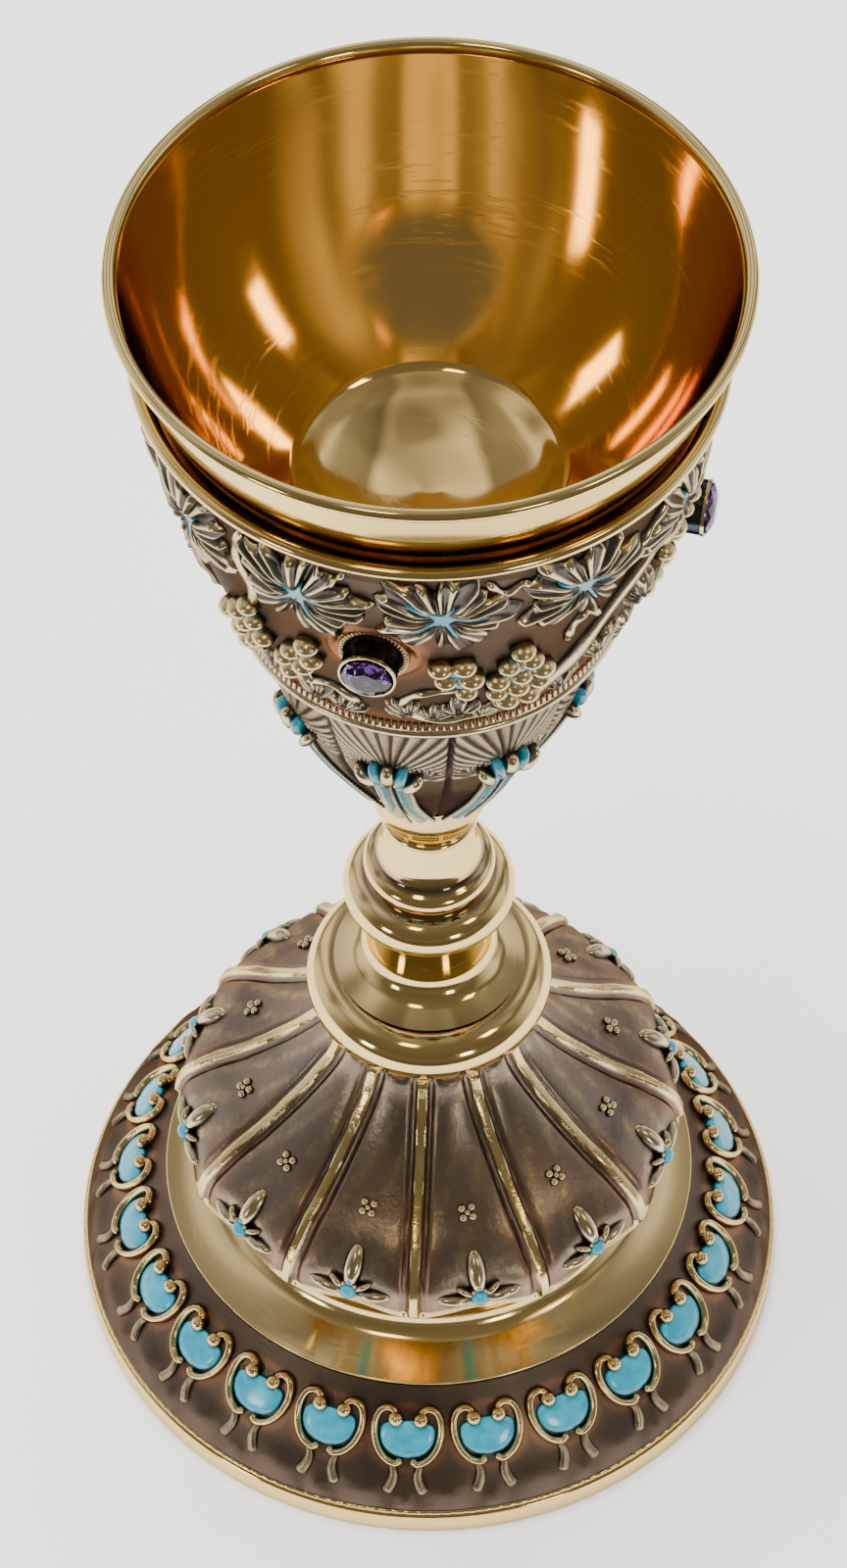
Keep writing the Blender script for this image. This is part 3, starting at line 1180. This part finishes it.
def stand_out(points):
    """Turn pieces made along a local axis (x across, y up, z out) to each stone's place on the wall."""
    points = np.asarray(points, float)
    made = []
    for k in range(STONE_COUNT):
        angle = math.radians(STONE_START + k * 360.0 / STONE_COUNT)
        across = np.array([math.cos(angle), math.sin(angle), 0.0])
        out = np.array([math.sin(angle), -math.cos(angle), 0.0])
        up = np.array([0.0, 0.0, 1.0])
        middle = out * seat_radius + up * STONE_Z
        made.append(middle + points[..., :1] * across + points[..., 1:2] * up + points[..., 2:3] * out)
    return np.stack(made)


def spun(section, sides=72):
    """Turn (radius, out) points round the local axis."""
    section = np.asarray(section, float)
    a = np.arange(sides)[None, :] * math.tau / sides
    return np.stack([section[:, :1] * np.cos(a), section[:, :1] * np.sin(a), section[:, 1:] + 0.0 * a], -1)


collet_section = np.array([
    (COLLET_RADIUS - 0.05 * MM, COLLET_HEIGHT), (COLLET_RADIUS, COLLET_HEIGHT - 0.12 * MM),
    (COLLET_RADIUS, COLLET_HEIGHT - 0.5 * MM), (COLLET_RADIUS - 0.12 * MM, COLLET_HEIGHT - 0.62 * MM),
    (COLLET_RADIUS - 0.12 * MM, 1.6 * MM), (COLLET_RADIUS + 0.1 * MM, 0.8 * MM),
    (COLLET_RADIUS + 0.1 * MM, 0.3 * MM), (STONE_RADIUS - 1.1 * MM, 0.3 * MM),
    (STONE_RADIUS - 1.1 * MM, 1.0 * MM), (STONE_RADIUS - 0.4 * MM, 2.6 * MM),
    (STONE_RADIUS - 0.05 * MM, COLLET_HEIGHT - 0.25 * MM), (STONE_RADIUS + 0.08 * MM, COLLET_HEIGHT)])
collet_wear = np.array([1, 1, 0.9, 0.1, 0.0, 0.0, 0.1, 0, 0.5, 0.9, 1, 1.0])
collets = stand_out(spun(collet_section))
build("collet_tubes", [patch(collets, loop=True, wear=collet_wear[:, None])], COLLET_SILVER,
      COLLET_NODES)

# %% [markdown]
# ## Ropes
# A rope ring hides the joint between collet and wall. Two wires could be twisted round each other. At this
# size one ring is enough, whose thickness follows the absolute cosine of an angle that turns along it.

# %% Ropes
ROPE_TWISTS = 24
turn = np.linspace(0.0, math.tau, 220, endpoint=False)[:, None]
section = np.arange(14)[None, :] * math.tau / 14
twist = section + ROPE_TWISTS * turn
thick = 0.44 * MM + 0.18 * MM * np.abs(np.cos(twist))
rope_reach = ROPE_RADIUS + thick * np.cos(section)
rope_out = 0.85 * MM + thick * np.sin(section)
rope = np.stack([rope_reach * np.cos(turn), rope_reach * np.sin(turn), rope_out], -1)
build("rope_rings", [patch(stand_out(rope), loop=True)], ROPE_GILT, COLLET_NODES,
      sharp=None)

# %% [markdown]
# ## Stones
# The stone is cut with eight-sided facets: table, crown, girdle and pavilion. A smooth cone could stand for
# the cut, but only flat faces keep every facet crisp. Rows of corners, some shifted by half a facet, give the
# triangles between them.

# %% Stones
FACETS = 8
facet_rows = [(0.52, 1.15, 0.0), (0.80, 0.80, 0.5), (0.985, 0.28, 0.0), (0.985, 0.10, 0.0),
              (0.55, -1.15, 0.5), (0.12, -2.1, 0.0)]
rows = []
for width, out, shift in facet_rows:
    angle = (np.arange(FACETS) + shift) * math.tau / FACETS
    rows.append(np.stack([width * STONE_RADIUS * np.cos(angle), width * STONE_RADIUS * np.sin(angle),
                          np.full(FACETS, COLLET_HEIGHT + out * MM)], -1))
stone_points = np.concatenate(rows)
stone_faces = [tuple(range(FACETS))]
for n in range(len(facet_rows) - 1):
    change = facet_rows[n + 1][2] - facet_rows[n][2]
    for k in range(FACETS):
        a, b = n * FACETS + k, n * FACETS + (k + 1) % FACETS
        c, d = a + FACETS, b + FACETS
        if change > 0:
            stone_faces += [(a, c, b), (b, c, d)]
        elif change < 0:
            stone_faces += [(a, d, b), (a, c, d)]
        else:
            stone_faces.append((a, c, d, b))
stone_faces.append(tuple(reversed(range(len(stone_points) - FACETS, len(stone_points)))))
stones = stand_out(stone_points)
mesh = bpy.data.meshes.new("amethysts")
all_faces = [tuple(v + k * len(stone_points) for v in face)
             for k in range(STONE_COUNT) for face in stone_faces]
mesh.from_pydata(stones.reshape(-1, 3).tolist(), [], all_faces)
mesh.materials.append(AMETHYST)
amethysts = bpy.data.objects.new("amethysts", mesh)
bpy.context.scene.collection.objects.link(amethysts)
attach(amethysts, "root")
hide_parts(*[f"amethyst_{k + 1}" for k in range(STONE_COUNT)])
print("stones:", len(all_faces), "facets")

# %% [markdown]
# ## Stem
# The stem is turned and polished. From below: a round ring, a hollow bell, a second ring, a collar, a waist
# and a small inverted cup that meets the fans. A drawn curve and a Screw modifier could turn it. Arcs in the
# profile give every round its true curve, and dark oxide is left in the grooves between them.

# %% Stem
LOWER_TUBE, LOWER_RING = 4.9 * MM, 19.8 * MM
UPPER_TUBE, UPPER_RING = 4.0 * MM, 13.6 * MM
BELL_RADIUS, BELL_NECK, BELL_RISE = 15.3 * MM, 9.5 * MM, 15.2 * MM
BELL_TILT, BELL_FILLET = 66.0, 5.0 * MM
COLLAR_RADIUS, COLLAR_HEIGHT = 10.4 * MM, 4.8 * MM
WAIST_RADIUS, WAIST_RISE = 6.6 * MM, 8.4 * MM
STEM_TOP = 9.4 * MM
GROOVE = 0.7 * MM
z = STEM_LOW + 2.6 * MM + LOWER_TUBE
parts = [(0.0, STEM_LOW), (14.6 * MM, STEM_LOW),
         arc((LOWER_RING - LOWER_TUBE, z), LOWER_TUBE, -74.0, 84.0, 36)]
z += LOWER_TUBE
grooves = [(BELL_RADIUS - 0.4 * MM, z)]
parts += [(BELL_RADIUS - GROOVE, z + 0.05 * MM), (BELL_RADIUS - GROOVE, z + 0.35 * MM),
          (BELL_RADIUS - 0.15 * MM, z + 0.5 * MM),
          hollow(BELL_NECK, BELL_RADIUS, z + GROOVE, BELL_TILT, BELL_FILLET)]
z += BELL_RISE
parts.append((BELL_NECK, z))
z += UPPER_TUBE + GROOVE
grooves.append((BELL_NECK + 0.8 * MM, z - UPPER_TUBE - 0.1 * MM))
parts.append(arc((UPPER_RING - UPPER_TUBE, z), UPPER_TUBE, -88.0, 78.0, 30))
z += UPPER_TUBE
grooves.append((COLLAR_RADIUS - 0.3 * MM, z + 0.15 * MM))
collar_tube = 0.45 * COLLAR_HEIGHT
parts += [(COLLAR_RADIUS - 0.9 * MM, z + 0.2 * MM),
          arc((COLLAR_RADIUS - collar_tube, z + 0.5 * COLLAR_HEIGHT), collar_tube, -70.0, 70.0, 14)]
z += COLLAR_HEIGHT
grooves.append((WAIST_RADIUS * 1.3, z + 0.15 * MM))
parts.append(ease([(WAIST_RADIUS * 1.27, z + 0.2 * MM), (WAIST_RADIUS * 1.12, z + 0.35 * WAIST_RISE),
                   (WAIST_RADIUS, z + 0.97 * WAIST_RISE)], 14))
z += WAIST_RISE
parts.append(arc((WAIST_RADIUS + 0.1 * MM, z + 0.9 * MM), 0.85 * MM, -80.0, 80.0, 10))
z += 1.8 * MM
top = STEM_HIGH
parts.append(ease([(WAIST_RADIUS + 0.5 * MM, z + 0.1 * MM), (STEM_TOP * 0.90, z + 0.28 * (top - z)),
                   (STEM_TOP * 0.99, z + 0.62 * (top - z)), (STEM_TOP, top - 0.05 * MM)], 18))
parts.append((0.0, top))
profile = chain(*parts)[::-1]
oxide = np.max([bell(np.hypot(*(profile - g).T), 0.75 * MM) for g in grooves], axis=0)
build("stem_turned", [lathe(profile, 192, tint=oxide)], POLISHED, ["stem"])

# %% [markdown]
# ## Lobed dome
# Twelve lobes fall from the stem to the drum. In plan the edge is a polygon with soft sides, so the radius
# shrinks between the ribs. Cloth-like folds could be sculpted. The formula is chosen because ribs, grooves
# and puffed lobes then share one angle: ribs are raised and rubbed bright, with a dark groove on both sides.

# %% Dome
LOBE_COUNT = 12
LOBE_START = -3.5
DOME_TOP = 15.6 * MM
DRUM_LEDGE = 9.5 * MM
DRUM_NECK = DRUM_RADIUS - DRUM_LEDGE
DOME_OVERHANG = 6.8 * MM
DOME_EDGE = DRUM_NECK + DOME_OVERHANG
CHORD = 0.034
STAR_SHARE, FLEUR_SHARE = 0.44, 0.13
dome_shape = ease([(1.0, 0.0), (0.985, 0.10), (0.93, 0.20), (0.775, 0.325), (0.605, 0.42), (0.44, 0.53),
                   (0.26, 0.67), (0.09, 0.84), (0.0, 1.0)], 84)[::-1]
dome_radius = DOME_TOP + (DOME_EDGE - DOME_TOP) * dome_shape[:, 0]
dome_z = DOME_LOW + (DOME_HIGH - DOME_LOW) * dome_shape[:, 1]
dome_wall = wall_table(np.stack([dome_radius, dome_z], -1))
columns = LOBE_COUNT * 72
azimuth = LOBE_START + np.arange(columns)[None, :] * 360.0 / columns
lobe = nearest(azimuth, LOBE_START, LOBE_COUNT)
reach = np.abs(lobe) / (180.0 / LOBE_COUNT)
away = np.radians(np.abs(lobe)) * dome_radius[:, None]
rib = smoothstep(1.05 * MM, 0.7 * MM, away)
groove = bell(away - 1.55 * MM, 0.55 * MM)
half_lobe = np.radians(180.0 / LOBE_COUNT) * dome_radius[:, None]
puff = 0.55 * MM * np.sin(math.pi * np.clip((away - 1.6 * MM) / (half_lobe - 1.6 * MM) / 2, 0, 0.5)) ** 0.7
share = dome_shape[:, :1]
sink = CHORD * share * np.sin(math.pi * reach / 2) ** 2
fade = smoothstep(0.0, 0.03, dome_shape[:, 1:]) * smoothstep(1.0, 0.97, dome_shape[:, 1:])
out = fade * (0.75 * MM * rib - 0.45 * MM * groove + puff * smoothstep(1.02, 0.9, share))
radius = dome_radius[:, None] * (1.0 - sink) + out * dome_wall["nr"][:, None]
height = dome_z[:, None] + out * dome_wall["nz"][:, None]
lip = smoothstep(0.045, 0.02, dome_shape[:, 1:])
star_spot = spot_at(dome_wall, DOME_LOW + STAR_SHARE * (DOME_HIGH - DOME_LOW))
from_middle = np.radians(lobe - np.sign(lobe) * 180.0 / LOBE_COUNT) * dome_radius[:, None]
to_star = np.hypot(from_middle, dome_wall["s"][:, None] - star_spot)
dark = bell(to_star - 1.2 * MM, 1.3 * MM)
soft = 0.34 + 0.06 * np.sin(np.radians(lobe) * 36.0 + dome_wall["s"][:, None] * 420.0) * (1.0 - rib)
wear = np.clip(np.maximum(rib, lip * 0.9) + (1.0 - rib) * (soft - 0.42 * groove - 0.3 * dark), 0, 1)
tint = np.clip(0.22 * bell(away - 2.4 * MM, 1.2 * MM) * smoothstep(0.3, 0.8, share) + 0.15 * dark, 0, 1)
outer = place(azimuth, radius, height)
under = [(DRUM_NECK - 1.35 * MM, DOME_LOW), (DRUM_NECK - 1.35 * MM, DOME_LOW + 1.9 * MM),
         (DOME_EDGE - 7.2 * MM, DOME_LOW + 4.6 * MM), (DOME_TOP - 1.5 * MM, DOME_HIGH - 5.0 * MM),
         (DOME_TOP * 0.5, DOME_HIGH - 2.4 * MM), (DOME_TOP * 0.5, DOME_HIGH)]
inner = np.stack([place(azimuth[0], r, h) for r, h in under])
build("dome_lobes",
      [patch(np.concatenate([outer, inner]), loop=True,
             wear=np.concatenate([wear, np.zeros(inner.shape[:2])]),
             tint=np.concatenate([tint, np.zeros(inner.shape[:2])]))],
      DOME_SILVER, ["foot_dome"])

# %% [markdown]
# ## Stars and fleurs on the dome
# Each lobe carries a cross of small balls halfway down, and at its foot a flower of three leaves round a
# turquoise bead. They could be placed by hand. Their places come from the lobes instead, and their shapes
# from the ball and petal functions, so that all twelve move with the dome.

# %% Dome ornaments
lobe_middles = LOBE_START + 180.0 / LOBE_COUNT + np.arange(LOBE_COUNT) * 360.0 / LOBE_COUNT
cross = 0.78 * MM
stars = [balls(dome_wall, lobe_middles, star_spot, x * cross, y * cross, 0.72 * MM, 0.3 * MM, 12, 8)
         for x, y in ((1, 1), (-1, 1), (1, -1), (-1, -1))]
stars.append(balls(dome_wall, lobe_middles, star_spot, 0.0, 0.0, 0.5 * MM, 0.55 * MM, 10, 7))
fleur_spot = spot_at(dome_wall, DOME_LOW + FLEUR_SHARE * (DOME_HIGH - DOME_LOW))
fleurs = [petals(dome_wall, lobe_middles, fleur_spot, 0.0, 4.6 * MM, 0.0, 1.65 * MM, 3.9 * MM, -0.55 * MM,
                 1.7 * MM, 16, 28, 0.9)]
for side in (-1, 1):
    fleurs.append(petals(dome_wall, lobe_middles, fleur_spot, side * 4.1 * MM, -0.3 * MM, side * 1.45,
                         1.15 * MM, 3.2 * MM, -1.0 * MM, 1.7 * MM, 14, 24, 0.9))
    fleurs.append(petals(dome_wall, lobe_middles, fleur_spot, side * 2.2 * MM, 1.3 * MM, side * 1.0,
                         0.7 * MM, 1.7 * MM, -0.7 * MM, 1.4 * MM, 10, 14, 0.9))
    fleurs.append(balls(dome_wall, lobe_middles, fleur_spot, side * 0.95 * MM, 1.35 * MM, 0.42 * MM,
                        0.2 * MM, 9, 6))
build("dome_stars", stars, RELIEF, ["foot_dome"], sharp=None)
build("dome_fleurs", fleurs, RELIEF, ["foot_dome"], sharp=None)
beads = balls(dome_wall, lobe_middles, fleur_spot, 0.0, 0.0, 1.4 * MM, -0.15 * MM, 18, 11)
drops = balls(dome_wall, lobe_middles, fleur_spot, 0.0, 2.0 * MM, 0.55 * MM, 0.45 * MM, 10, 7)
build("dome_enamel", [beads, drops], ENAMEL, ["foot_dome"], sharp=None)

# %% [markdown]
# ## Drum
# The polished step has a hollow side. A ledge slopes in from a small lip, and a fillet turns it up to the
# neck under the dome's edge. A bevelled cylinder could stand for it, but the hollow is what gathers the
# whole room in a few millimetres, from the floor to the lamps, so its line is drawn as it was turned.

# %% Drum
DRUM_LIP = 0.5 * MM
DRUM_TILT, DRUM_FILLET = 71.0, 4.45 * MM
DRUM_WALL = 1.5 * MM
drum = chain(
    (DRUM_NECK, DRUM_HIGH),
    hollow(DRUM_NECK, DRUM_RADIUS - 0.35 * MM, DRUM_LOW + DRUM_LIP, DRUM_TILT, DRUM_FILLET, 28)[::-1],
    arc((DRUM_RADIUS - 0.25 * MM, DRUM_LOW + 0.25 * MM), 0.25 * MM, 80.0, -80.0, 8),
    (DRUM_NECK - DRUM_WALL, DRUM_LOW), (DRUM_NECK - DRUM_WALL, DRUM_HIGH))
build("drum_turned", [lathe(drum, 256, loop=True)], SOFT_GILT, ["foot_drum"])

# %% [markdown]
# ## Flange
# The sloping border is dark and softly gadrooned: a low swelling lies between every two horseshoes near the
# outer edge. Displacement by a texture could raise it. The height is a product of bells across and along
# instead, so that the swellings keep their place between the motifs.

# %% Flange
MOTIF_COUNT = 24
MOTIF_START = -4.0
FLANGE_SWELL = 0.9 * MM
GADROON = 0.75 * MM
flange_edge = FOOT_RADIUS - 0.9 * MM
rise = np.linspace(1.0, 0.0, 64)[:, None]
flange_base = flange_edge + (DRUM_RADIUS - flange_edge) * rise + FLANGE_SWELL * np.sin(math.pi * rise)
flange_z = FLANGE_LOW + (FLANGE_HIGH - FLANGE_LOW) * rise
flange_wall = wall_table(np.concatenate([flange_base, flange_z], -1))
columns = MOTIF_COUNT * 36
azimuth = MOTIF_START + np.arange(columns)[None, :] * 360.0 / columns
across = nearest(azimuth, MOTIF_START, MOTIF_COUNT) / (180.0 / MOTIF_COUNT)
between = 1.0 - np.abs(across)
gadroon = GADROON * bell(between, 0.52) * bell(rise - 0.17, 0.13)
lobes = 0.45 * MM * bell(across, 0.2) * bell(rise - 0.1, 0.1)
well = -0.25 * MM * bell(across, 0.5) * bell(rise - 0.58, 0.2)
ends = smoothstep(0.0, 0.04, rise) * smoothstep(1.0, 0.96, rise)
out = (gadroon + lobes + well - 0.35 * MM * bell(rise - 0.5, 0.3)) * ends
radius = flange_base + out * flange_wall["nr"][:, None]
height = flange_z + out * flange_wall["nz"][:, None]
ring_round = np.abs(np.hypot(across * 6.6, (rise - 0.6) * 24.5) - 6.2)
wear = np.clip(0.1 + 0.1 * gadroon / GADROON - 0.1 * bell(rise - 0.02, 0.05), 0, 1)
tint = np.clip(0.4 * bell(ring_round, 0.8) * smoothstep(0.02, 0.2, rise), 0, 1)
outer = place(azimuth, radius, height)
under = [(flange_edge - 2.3 * MM, FLANGE_LOW), (DRUM_RADIUS - 1.4 * MM, FLANGE_HIGH - 2.0 * MM),
         (DRUM_RADIUS - 4.2 * MM, FLANGE_HIGH - 1.6 * MM), (DRUM_RADIUS - 4.2 * MM, FLANGE_HIGH)]
inner = np.stack([place(azimuth[0], r, h) for r, h in under])
build("flange_ground",
      [patch(np.concatenate([outer, inner]), loop=True,
             wear=np.concatenate([wear, np.zeros(inner.shape[:2])]),
             tint=np.concatenate([tint, np.zeros(inner.shape[:2])]))],
      GROUND, ["foot_flange"])

# %% [markdown]
# ## Horseshoes
# Twenty-four horseshoes of wire stand on the flange. A wire starts in a small scroll with a ball, swings out
# round the enamel and ends below in a curl, from which a coppery leg runs out. Bevelled curves could draw
# them. The tube function does it on the wall's table, and the left side mirrors the right.

# %% Horseshoe frames and enamel
MOTIF_SHARE = 0.635
motif_azimuths = MOTIF_START + np.arange(MOTIF_COUNT) * 360.0 / MOTIF_COUNT
motif_spot = spot_at(flange_wall, FLANGE_LOW + MOTIF_SHARE * (FLANGE_HIGH - FLANGE_LOW))
WIRE = [(2.0, 3.3), (2.4, 4.25), (3.4, 4.65), (4.65, 4.0), (5.4, 2.3), (5.5, 0.1), (4.95, -2.1),
        (3.85, -3.75), (2.6, -4.6), (1.7, -4.75), (1.2, -4.35)]
LEG = [(2.4, -5.0), (2.0, -6.4), (2.2, -8.0), (3.2, -10.2)]
KNOBS = [(2.05, 2.85, 1.3, 0.75), (1.25, -4.4, 0.65, 0.5)]
wires, legs, knobs = [], [], []
for side in (-1, 1):
    path = ease(np.array(WIRE) * (side * MM, MM), 52)
    leg = ease(np.array(LEG) * (side * MM, MM), 16)
    wires.append(tube(flange_wall, motif_azimuths, motif_spot, path, 0.68 * MM, 1.2 * MM, 12))
    legs.append(tube(flange_wall, motif_azimuths, motif_spot, leg, np.linspace(0.6, 1.1, 16) * MM, 0.7 * MM,
                     10, wear_low=0.1, wear_high=0.5))
    for x, y, size, lift in KNOBS:
        knobs.append(balls(flange_wall, motif_azimuths, motif_spot, side * x * MM, y * MM, size * MM,
                           lift * MM, 12, 8))
build("horseshoe_legs", legs, GROUND, ["foot_flange"], sharp=None)
build("horseshoe_wires", wires, WIRE_GILT, ["foot_flange"], sharp=None)
build("horseshoe_balls", knobs, WIRE_GILT, ["foot_flange"], sharp=None)
angle = np.linspace(0.0, math.tau, 48, endpoint=False)[None, :]
spread = np.array([0.4, 0.75, 0.95, 1.0, 1.0])[:, None]
x = 4.5 * MM * spread * np.sign(np.cos(angle)) * np.abs(np.cos(angle)) ** 0.85
y = spread * np.where(np.sin(angle) > 0, 2.5 * np.abs(np.sin(angle)) ** 0.6, 3.75 * np.sin(angle)) * MM
out = np.array([0.72, 0.66, 0.5, 0.3, -0.4])[:, None] * MM
pads = lay(flange_wall, motif_azimuths[:, None, None], motif_spot, x[None], y[None], out[None])
build("horseshoe_enamel", [capped(pads)], ENAMEL, ["foot_flange"], sharp=None)

# %% [markdown]
# ## Foot ring
# The cup stands on a gilt band. Where it meets the flange runs a fine line of milling. A bump could suggest
# it; shallow beads on the top edge of the turned section also break up the reflection there.

# %% Foot ring
MILLING = 180
MILLING_DEPTH = 0.1 * MM
columns = MILLING * 8
azimuth = np.arange(columns)[None, :] * 360.0 / columns
edge = 0.9 * MM
section = chain((FOOT_RADIUS - 3.6 * MM, RING_HIGH), (FOOT_RADIUS - edge - 0.5 * MM, RING_HIGH),
                arc((FOOT_RADIUS - edge - 0.05 * MM, RING_HIGH - 0.45 * MM), 0.45 * MM, 95.0, -25.0, 6),
                arc((FOOT_RADIUS - edge, RING_HIGH - 1.5 * edge), edge, 62.0, 0.0, 8),
                arc((FOOT_RADIUS - 0.55 * MM, 0.55 * MM), 0.55 * MM, 0.0, -90.0, 8),
                (FOOT_RADIUS - 4.6 * MM, 0.0), (FOOT_RADIUS - 4.6 * MM, RING_HIGH))
milled = np.zeros(len(section))
milled[3:7] = 1.0
bump = np.abs(np.sin(np.radians(azimuth) * MILLING / 2)) ** 0.8
points = place(azimuth, section[:, :1] + MILLING_DEPTH * (bump - 1.0) * milled[:, None], section[:, 1:])
build("foot_band", [patch(points, loop=True)], POLISHED, ["foot_ring"])

# %% [markdown]
# ## Floor
# The cup stands on pale paper, which also gives the metal its creamy tone from below. A curved backdrop could
# run up behind it, but the shot looks down so steeply that a flat sheet fills the picture.

# %% Floor


def floor_material():
    """Pale paper with a faint cloud in the colour."""
    material, tree, shader = fresh_material("pale_floor")
    tint = use_group(tree, DRIFT, Main=(0.80, 0.795, 0.79, 1), Other=(0.77, 0.765, 0.77, 1), Scale=14.0,
                     Amount=0.8)
    wire(tree, (tint, "Color", shader, "Base Color"))
    shader.inputs["Roughness"].default_value = 0.75
    return material


FLOOR_FRONT = -0.30
FLOOR_REACH = 1.6
floor_corners = [(-FLOOR_REACH, FLOOR_FRONT, 0.0), (FLOOR_REACH, FLOOR_FRONT, 0.0),
                 (FLOOR_REACH, FLOOR_REACH, 0.0), (-FLOOR_REACH, FLOOR_REACH, 0.0)]
floor_mesh = bpy.data.meshes.new("floor")
floor_mesh.from_pydata(floor_corners, [], [(0, 1, 2, 3)])
floor_mesh.materials.append(floor_material())
floor = bpy.data.objects.new("floor", floor_mesh)
bpy.context.scene.collection.objects.link(floor)
print("floor from", FLOOR_FRONT, "to", FLOOR_REACH)

# %% [markdown]
# ## Sky
# Polished metal shows what is around it, so the light is part of the finish. A picture of a room could be
# wrapped round the cup. Two ramps over the height do the same: a pale one behind the cup, broken by panels
# and clouds of tone for the soft bands in the bowl, and a dark one before it, which gives the drum and the
# stem their deep tones.

# %% Sky
FRONT_SKY = [(0.0, 0.12), (0.47, 0.13), (0.53, 0.20), (0.66, 0.16), (0.8, 0.18), (1.0, 0.22)]
BACK_SKY = [(0.0, 0.8), (0.5, 1.05), (0.65, 1.0), (0.8, 0.95), (0.95, 0.95), (0.99, 0.65), (1.0, 0.6)]
PANELS = [(0.0, 1.15), (0.19, 1.1), (0.25, 0.28), (0.42, 0.42), (0.5, 1.0), (0.66, 1.0), (0.74, 0.45),
          (0.84, 1.0)]
CLOUDS = [(0.36, 0.35), (0.52, 1.1)]
world = bpy.data.worlds.new("studio")
bpy.context.scene.world = world
world.use_nodes = True
sky_tree = world.node_tree
background = sky_tree.nodes["Background"]
where = node(sky_tree, "ShaderNodeTexCoord")
parts = node(sky_tree, "ShaderNodeSeparateXYZ")
half = node(sky_tree, "ShaderNodeMapRange")
half.inputs["From Min"].default_value = -1.0
depth = node(sky_tree, "ShaderNodeMapRange", interpolation_type="SMOOTHSTEP")
depth.inputs["From Min"].default_value = -0.45
depth.inputs["From Max"].default_value = 0.25
front, back = ramp(sky_tree, FRONT_SKY), ramp(sky_tree, BACK_SKY)
warm = node(sky_tree, "ShaderNodeMix", data_type="RGBA", blend_type="MULTIPLY")
warm.inputs["Factor"].default_value = 1.0
warm.inputs[7].default_value = (1.0, 0.90, 0.70, 1.0)
sides = node(sky_tree, "ShaderNodeMix", data_type="RGBA")
across = node(sky_tree, "ShaderNodeMath", operation="ABSOLUTE")
panel, cloud = ramp(sky_tree, PANELS), ramp(sky_tree, CLOUDS)
noise = node(sky_tree, "ShaderNodeTexNoise", {"Scale": 1.9, "Detail": 1.0})
pattern = node(sky_tree, "ShaderNodeMath", operation="MULTIPLY")
patterned = node(sky_tree, "ShaderNodeMix", data_type="RGBA", blend_type="MULTIPLY")
patterned.inputs["Factor"].default_value = 1.0
wire(sky_tree, (where, "Generated", parts, 0), (parts, "Z", half, "Value"),
     (parts, "Y", depth, "Value"), (half, "Result", front, "Fac"), (half, "Result", back, "Fac"),
     (front, "Color", warm, 6), (depth, "Result", sides, "Factor"), (warm, 2, sides, 6),
     (parts, "X", across, 0), (across, 0, panel, "Fac"), (where, "Generated", noise, "Vector"),
     (noise, "Fac", cloud, "Fac"), (panel, "Color", pattern, 0), (cloud, "Color", pattern, 1),
     (back, "Color", patterned, 6), (pattern, 0, patterned, 7), (patterned, 2, sides, 7),
     (sides, 2, background, "Color"))
background.inputs["Strength"].default_value = 1.0
print("sky:", len(FRONT_SKY) + len(BACK_SKY), "tones over the height")

# %% [markdown]
# ## Lamps
# One big lamp could light the cup, but gilding would show its square. So three big lamps light only what
# scatters, and are hidden from reflections, and four small ones leave the bright spots on the gilding.

# %% Lamps


def lamp(name, spot, aim, size, power, colour=(1.0, 1.0, 1.0), mirrored=True):
    """A soft rectangular lamp that faces a point; one that isn't mirrored lights only what scatters."""
    data = bpy.data.lights.new(name, "AREA")
    data.shape = "RECTANGLE"
    data.size, data.size_y = size
    data.energy = power
    data.color = colour
    lit = bpy.data.objects.new(name, data)
    lit.location = spot
    lit.rotation_euler = (Vector(aim) - Vector(spot)).to_track_quat("-Z", "Y").to_euler()
    lit.visible_glossy = mirrored
    bpy.context.scene.collection.objects.link(lit)


AIM = (0.0, 0.0, 0.12)
lamp("overhead", (-0.15, 0.15, 1.5), AIM, (1.1, 0.9), 70.0, (1.0, 0.985, 0.99), mirrored=False)
lamp("fill_left", (-0.8, -0.9, 0.35), AIM, (0.7, 0.5), 9.0, mirrored=False)
lamp("fill_right", (0.8, -0.9, 0.35), AIM, (0.7, 0.5), 9.0, mirrored=False)
lamp("white_left", (-1.107, -0.966, 0.38), AIM, (0.24, 0.24), 2.0, (1.0, 0.97, 0.86))
lamp("white_right", (0.717, -1.262, 0.45), AIM, (0.24, 0.24), 2.0, (1.0, 0.97, 0.86))
lamp("warm_left", (-0.31, -0.73, 1.46), AIM, (0.25, 0.25), 1.8, (1.0, 0.80, 0.52))
lamp("warm_right", (0.91, -0.49, 1.28), AIM, (0.25, 0.25), 1.8, (1.0, 0.80, 0.52))
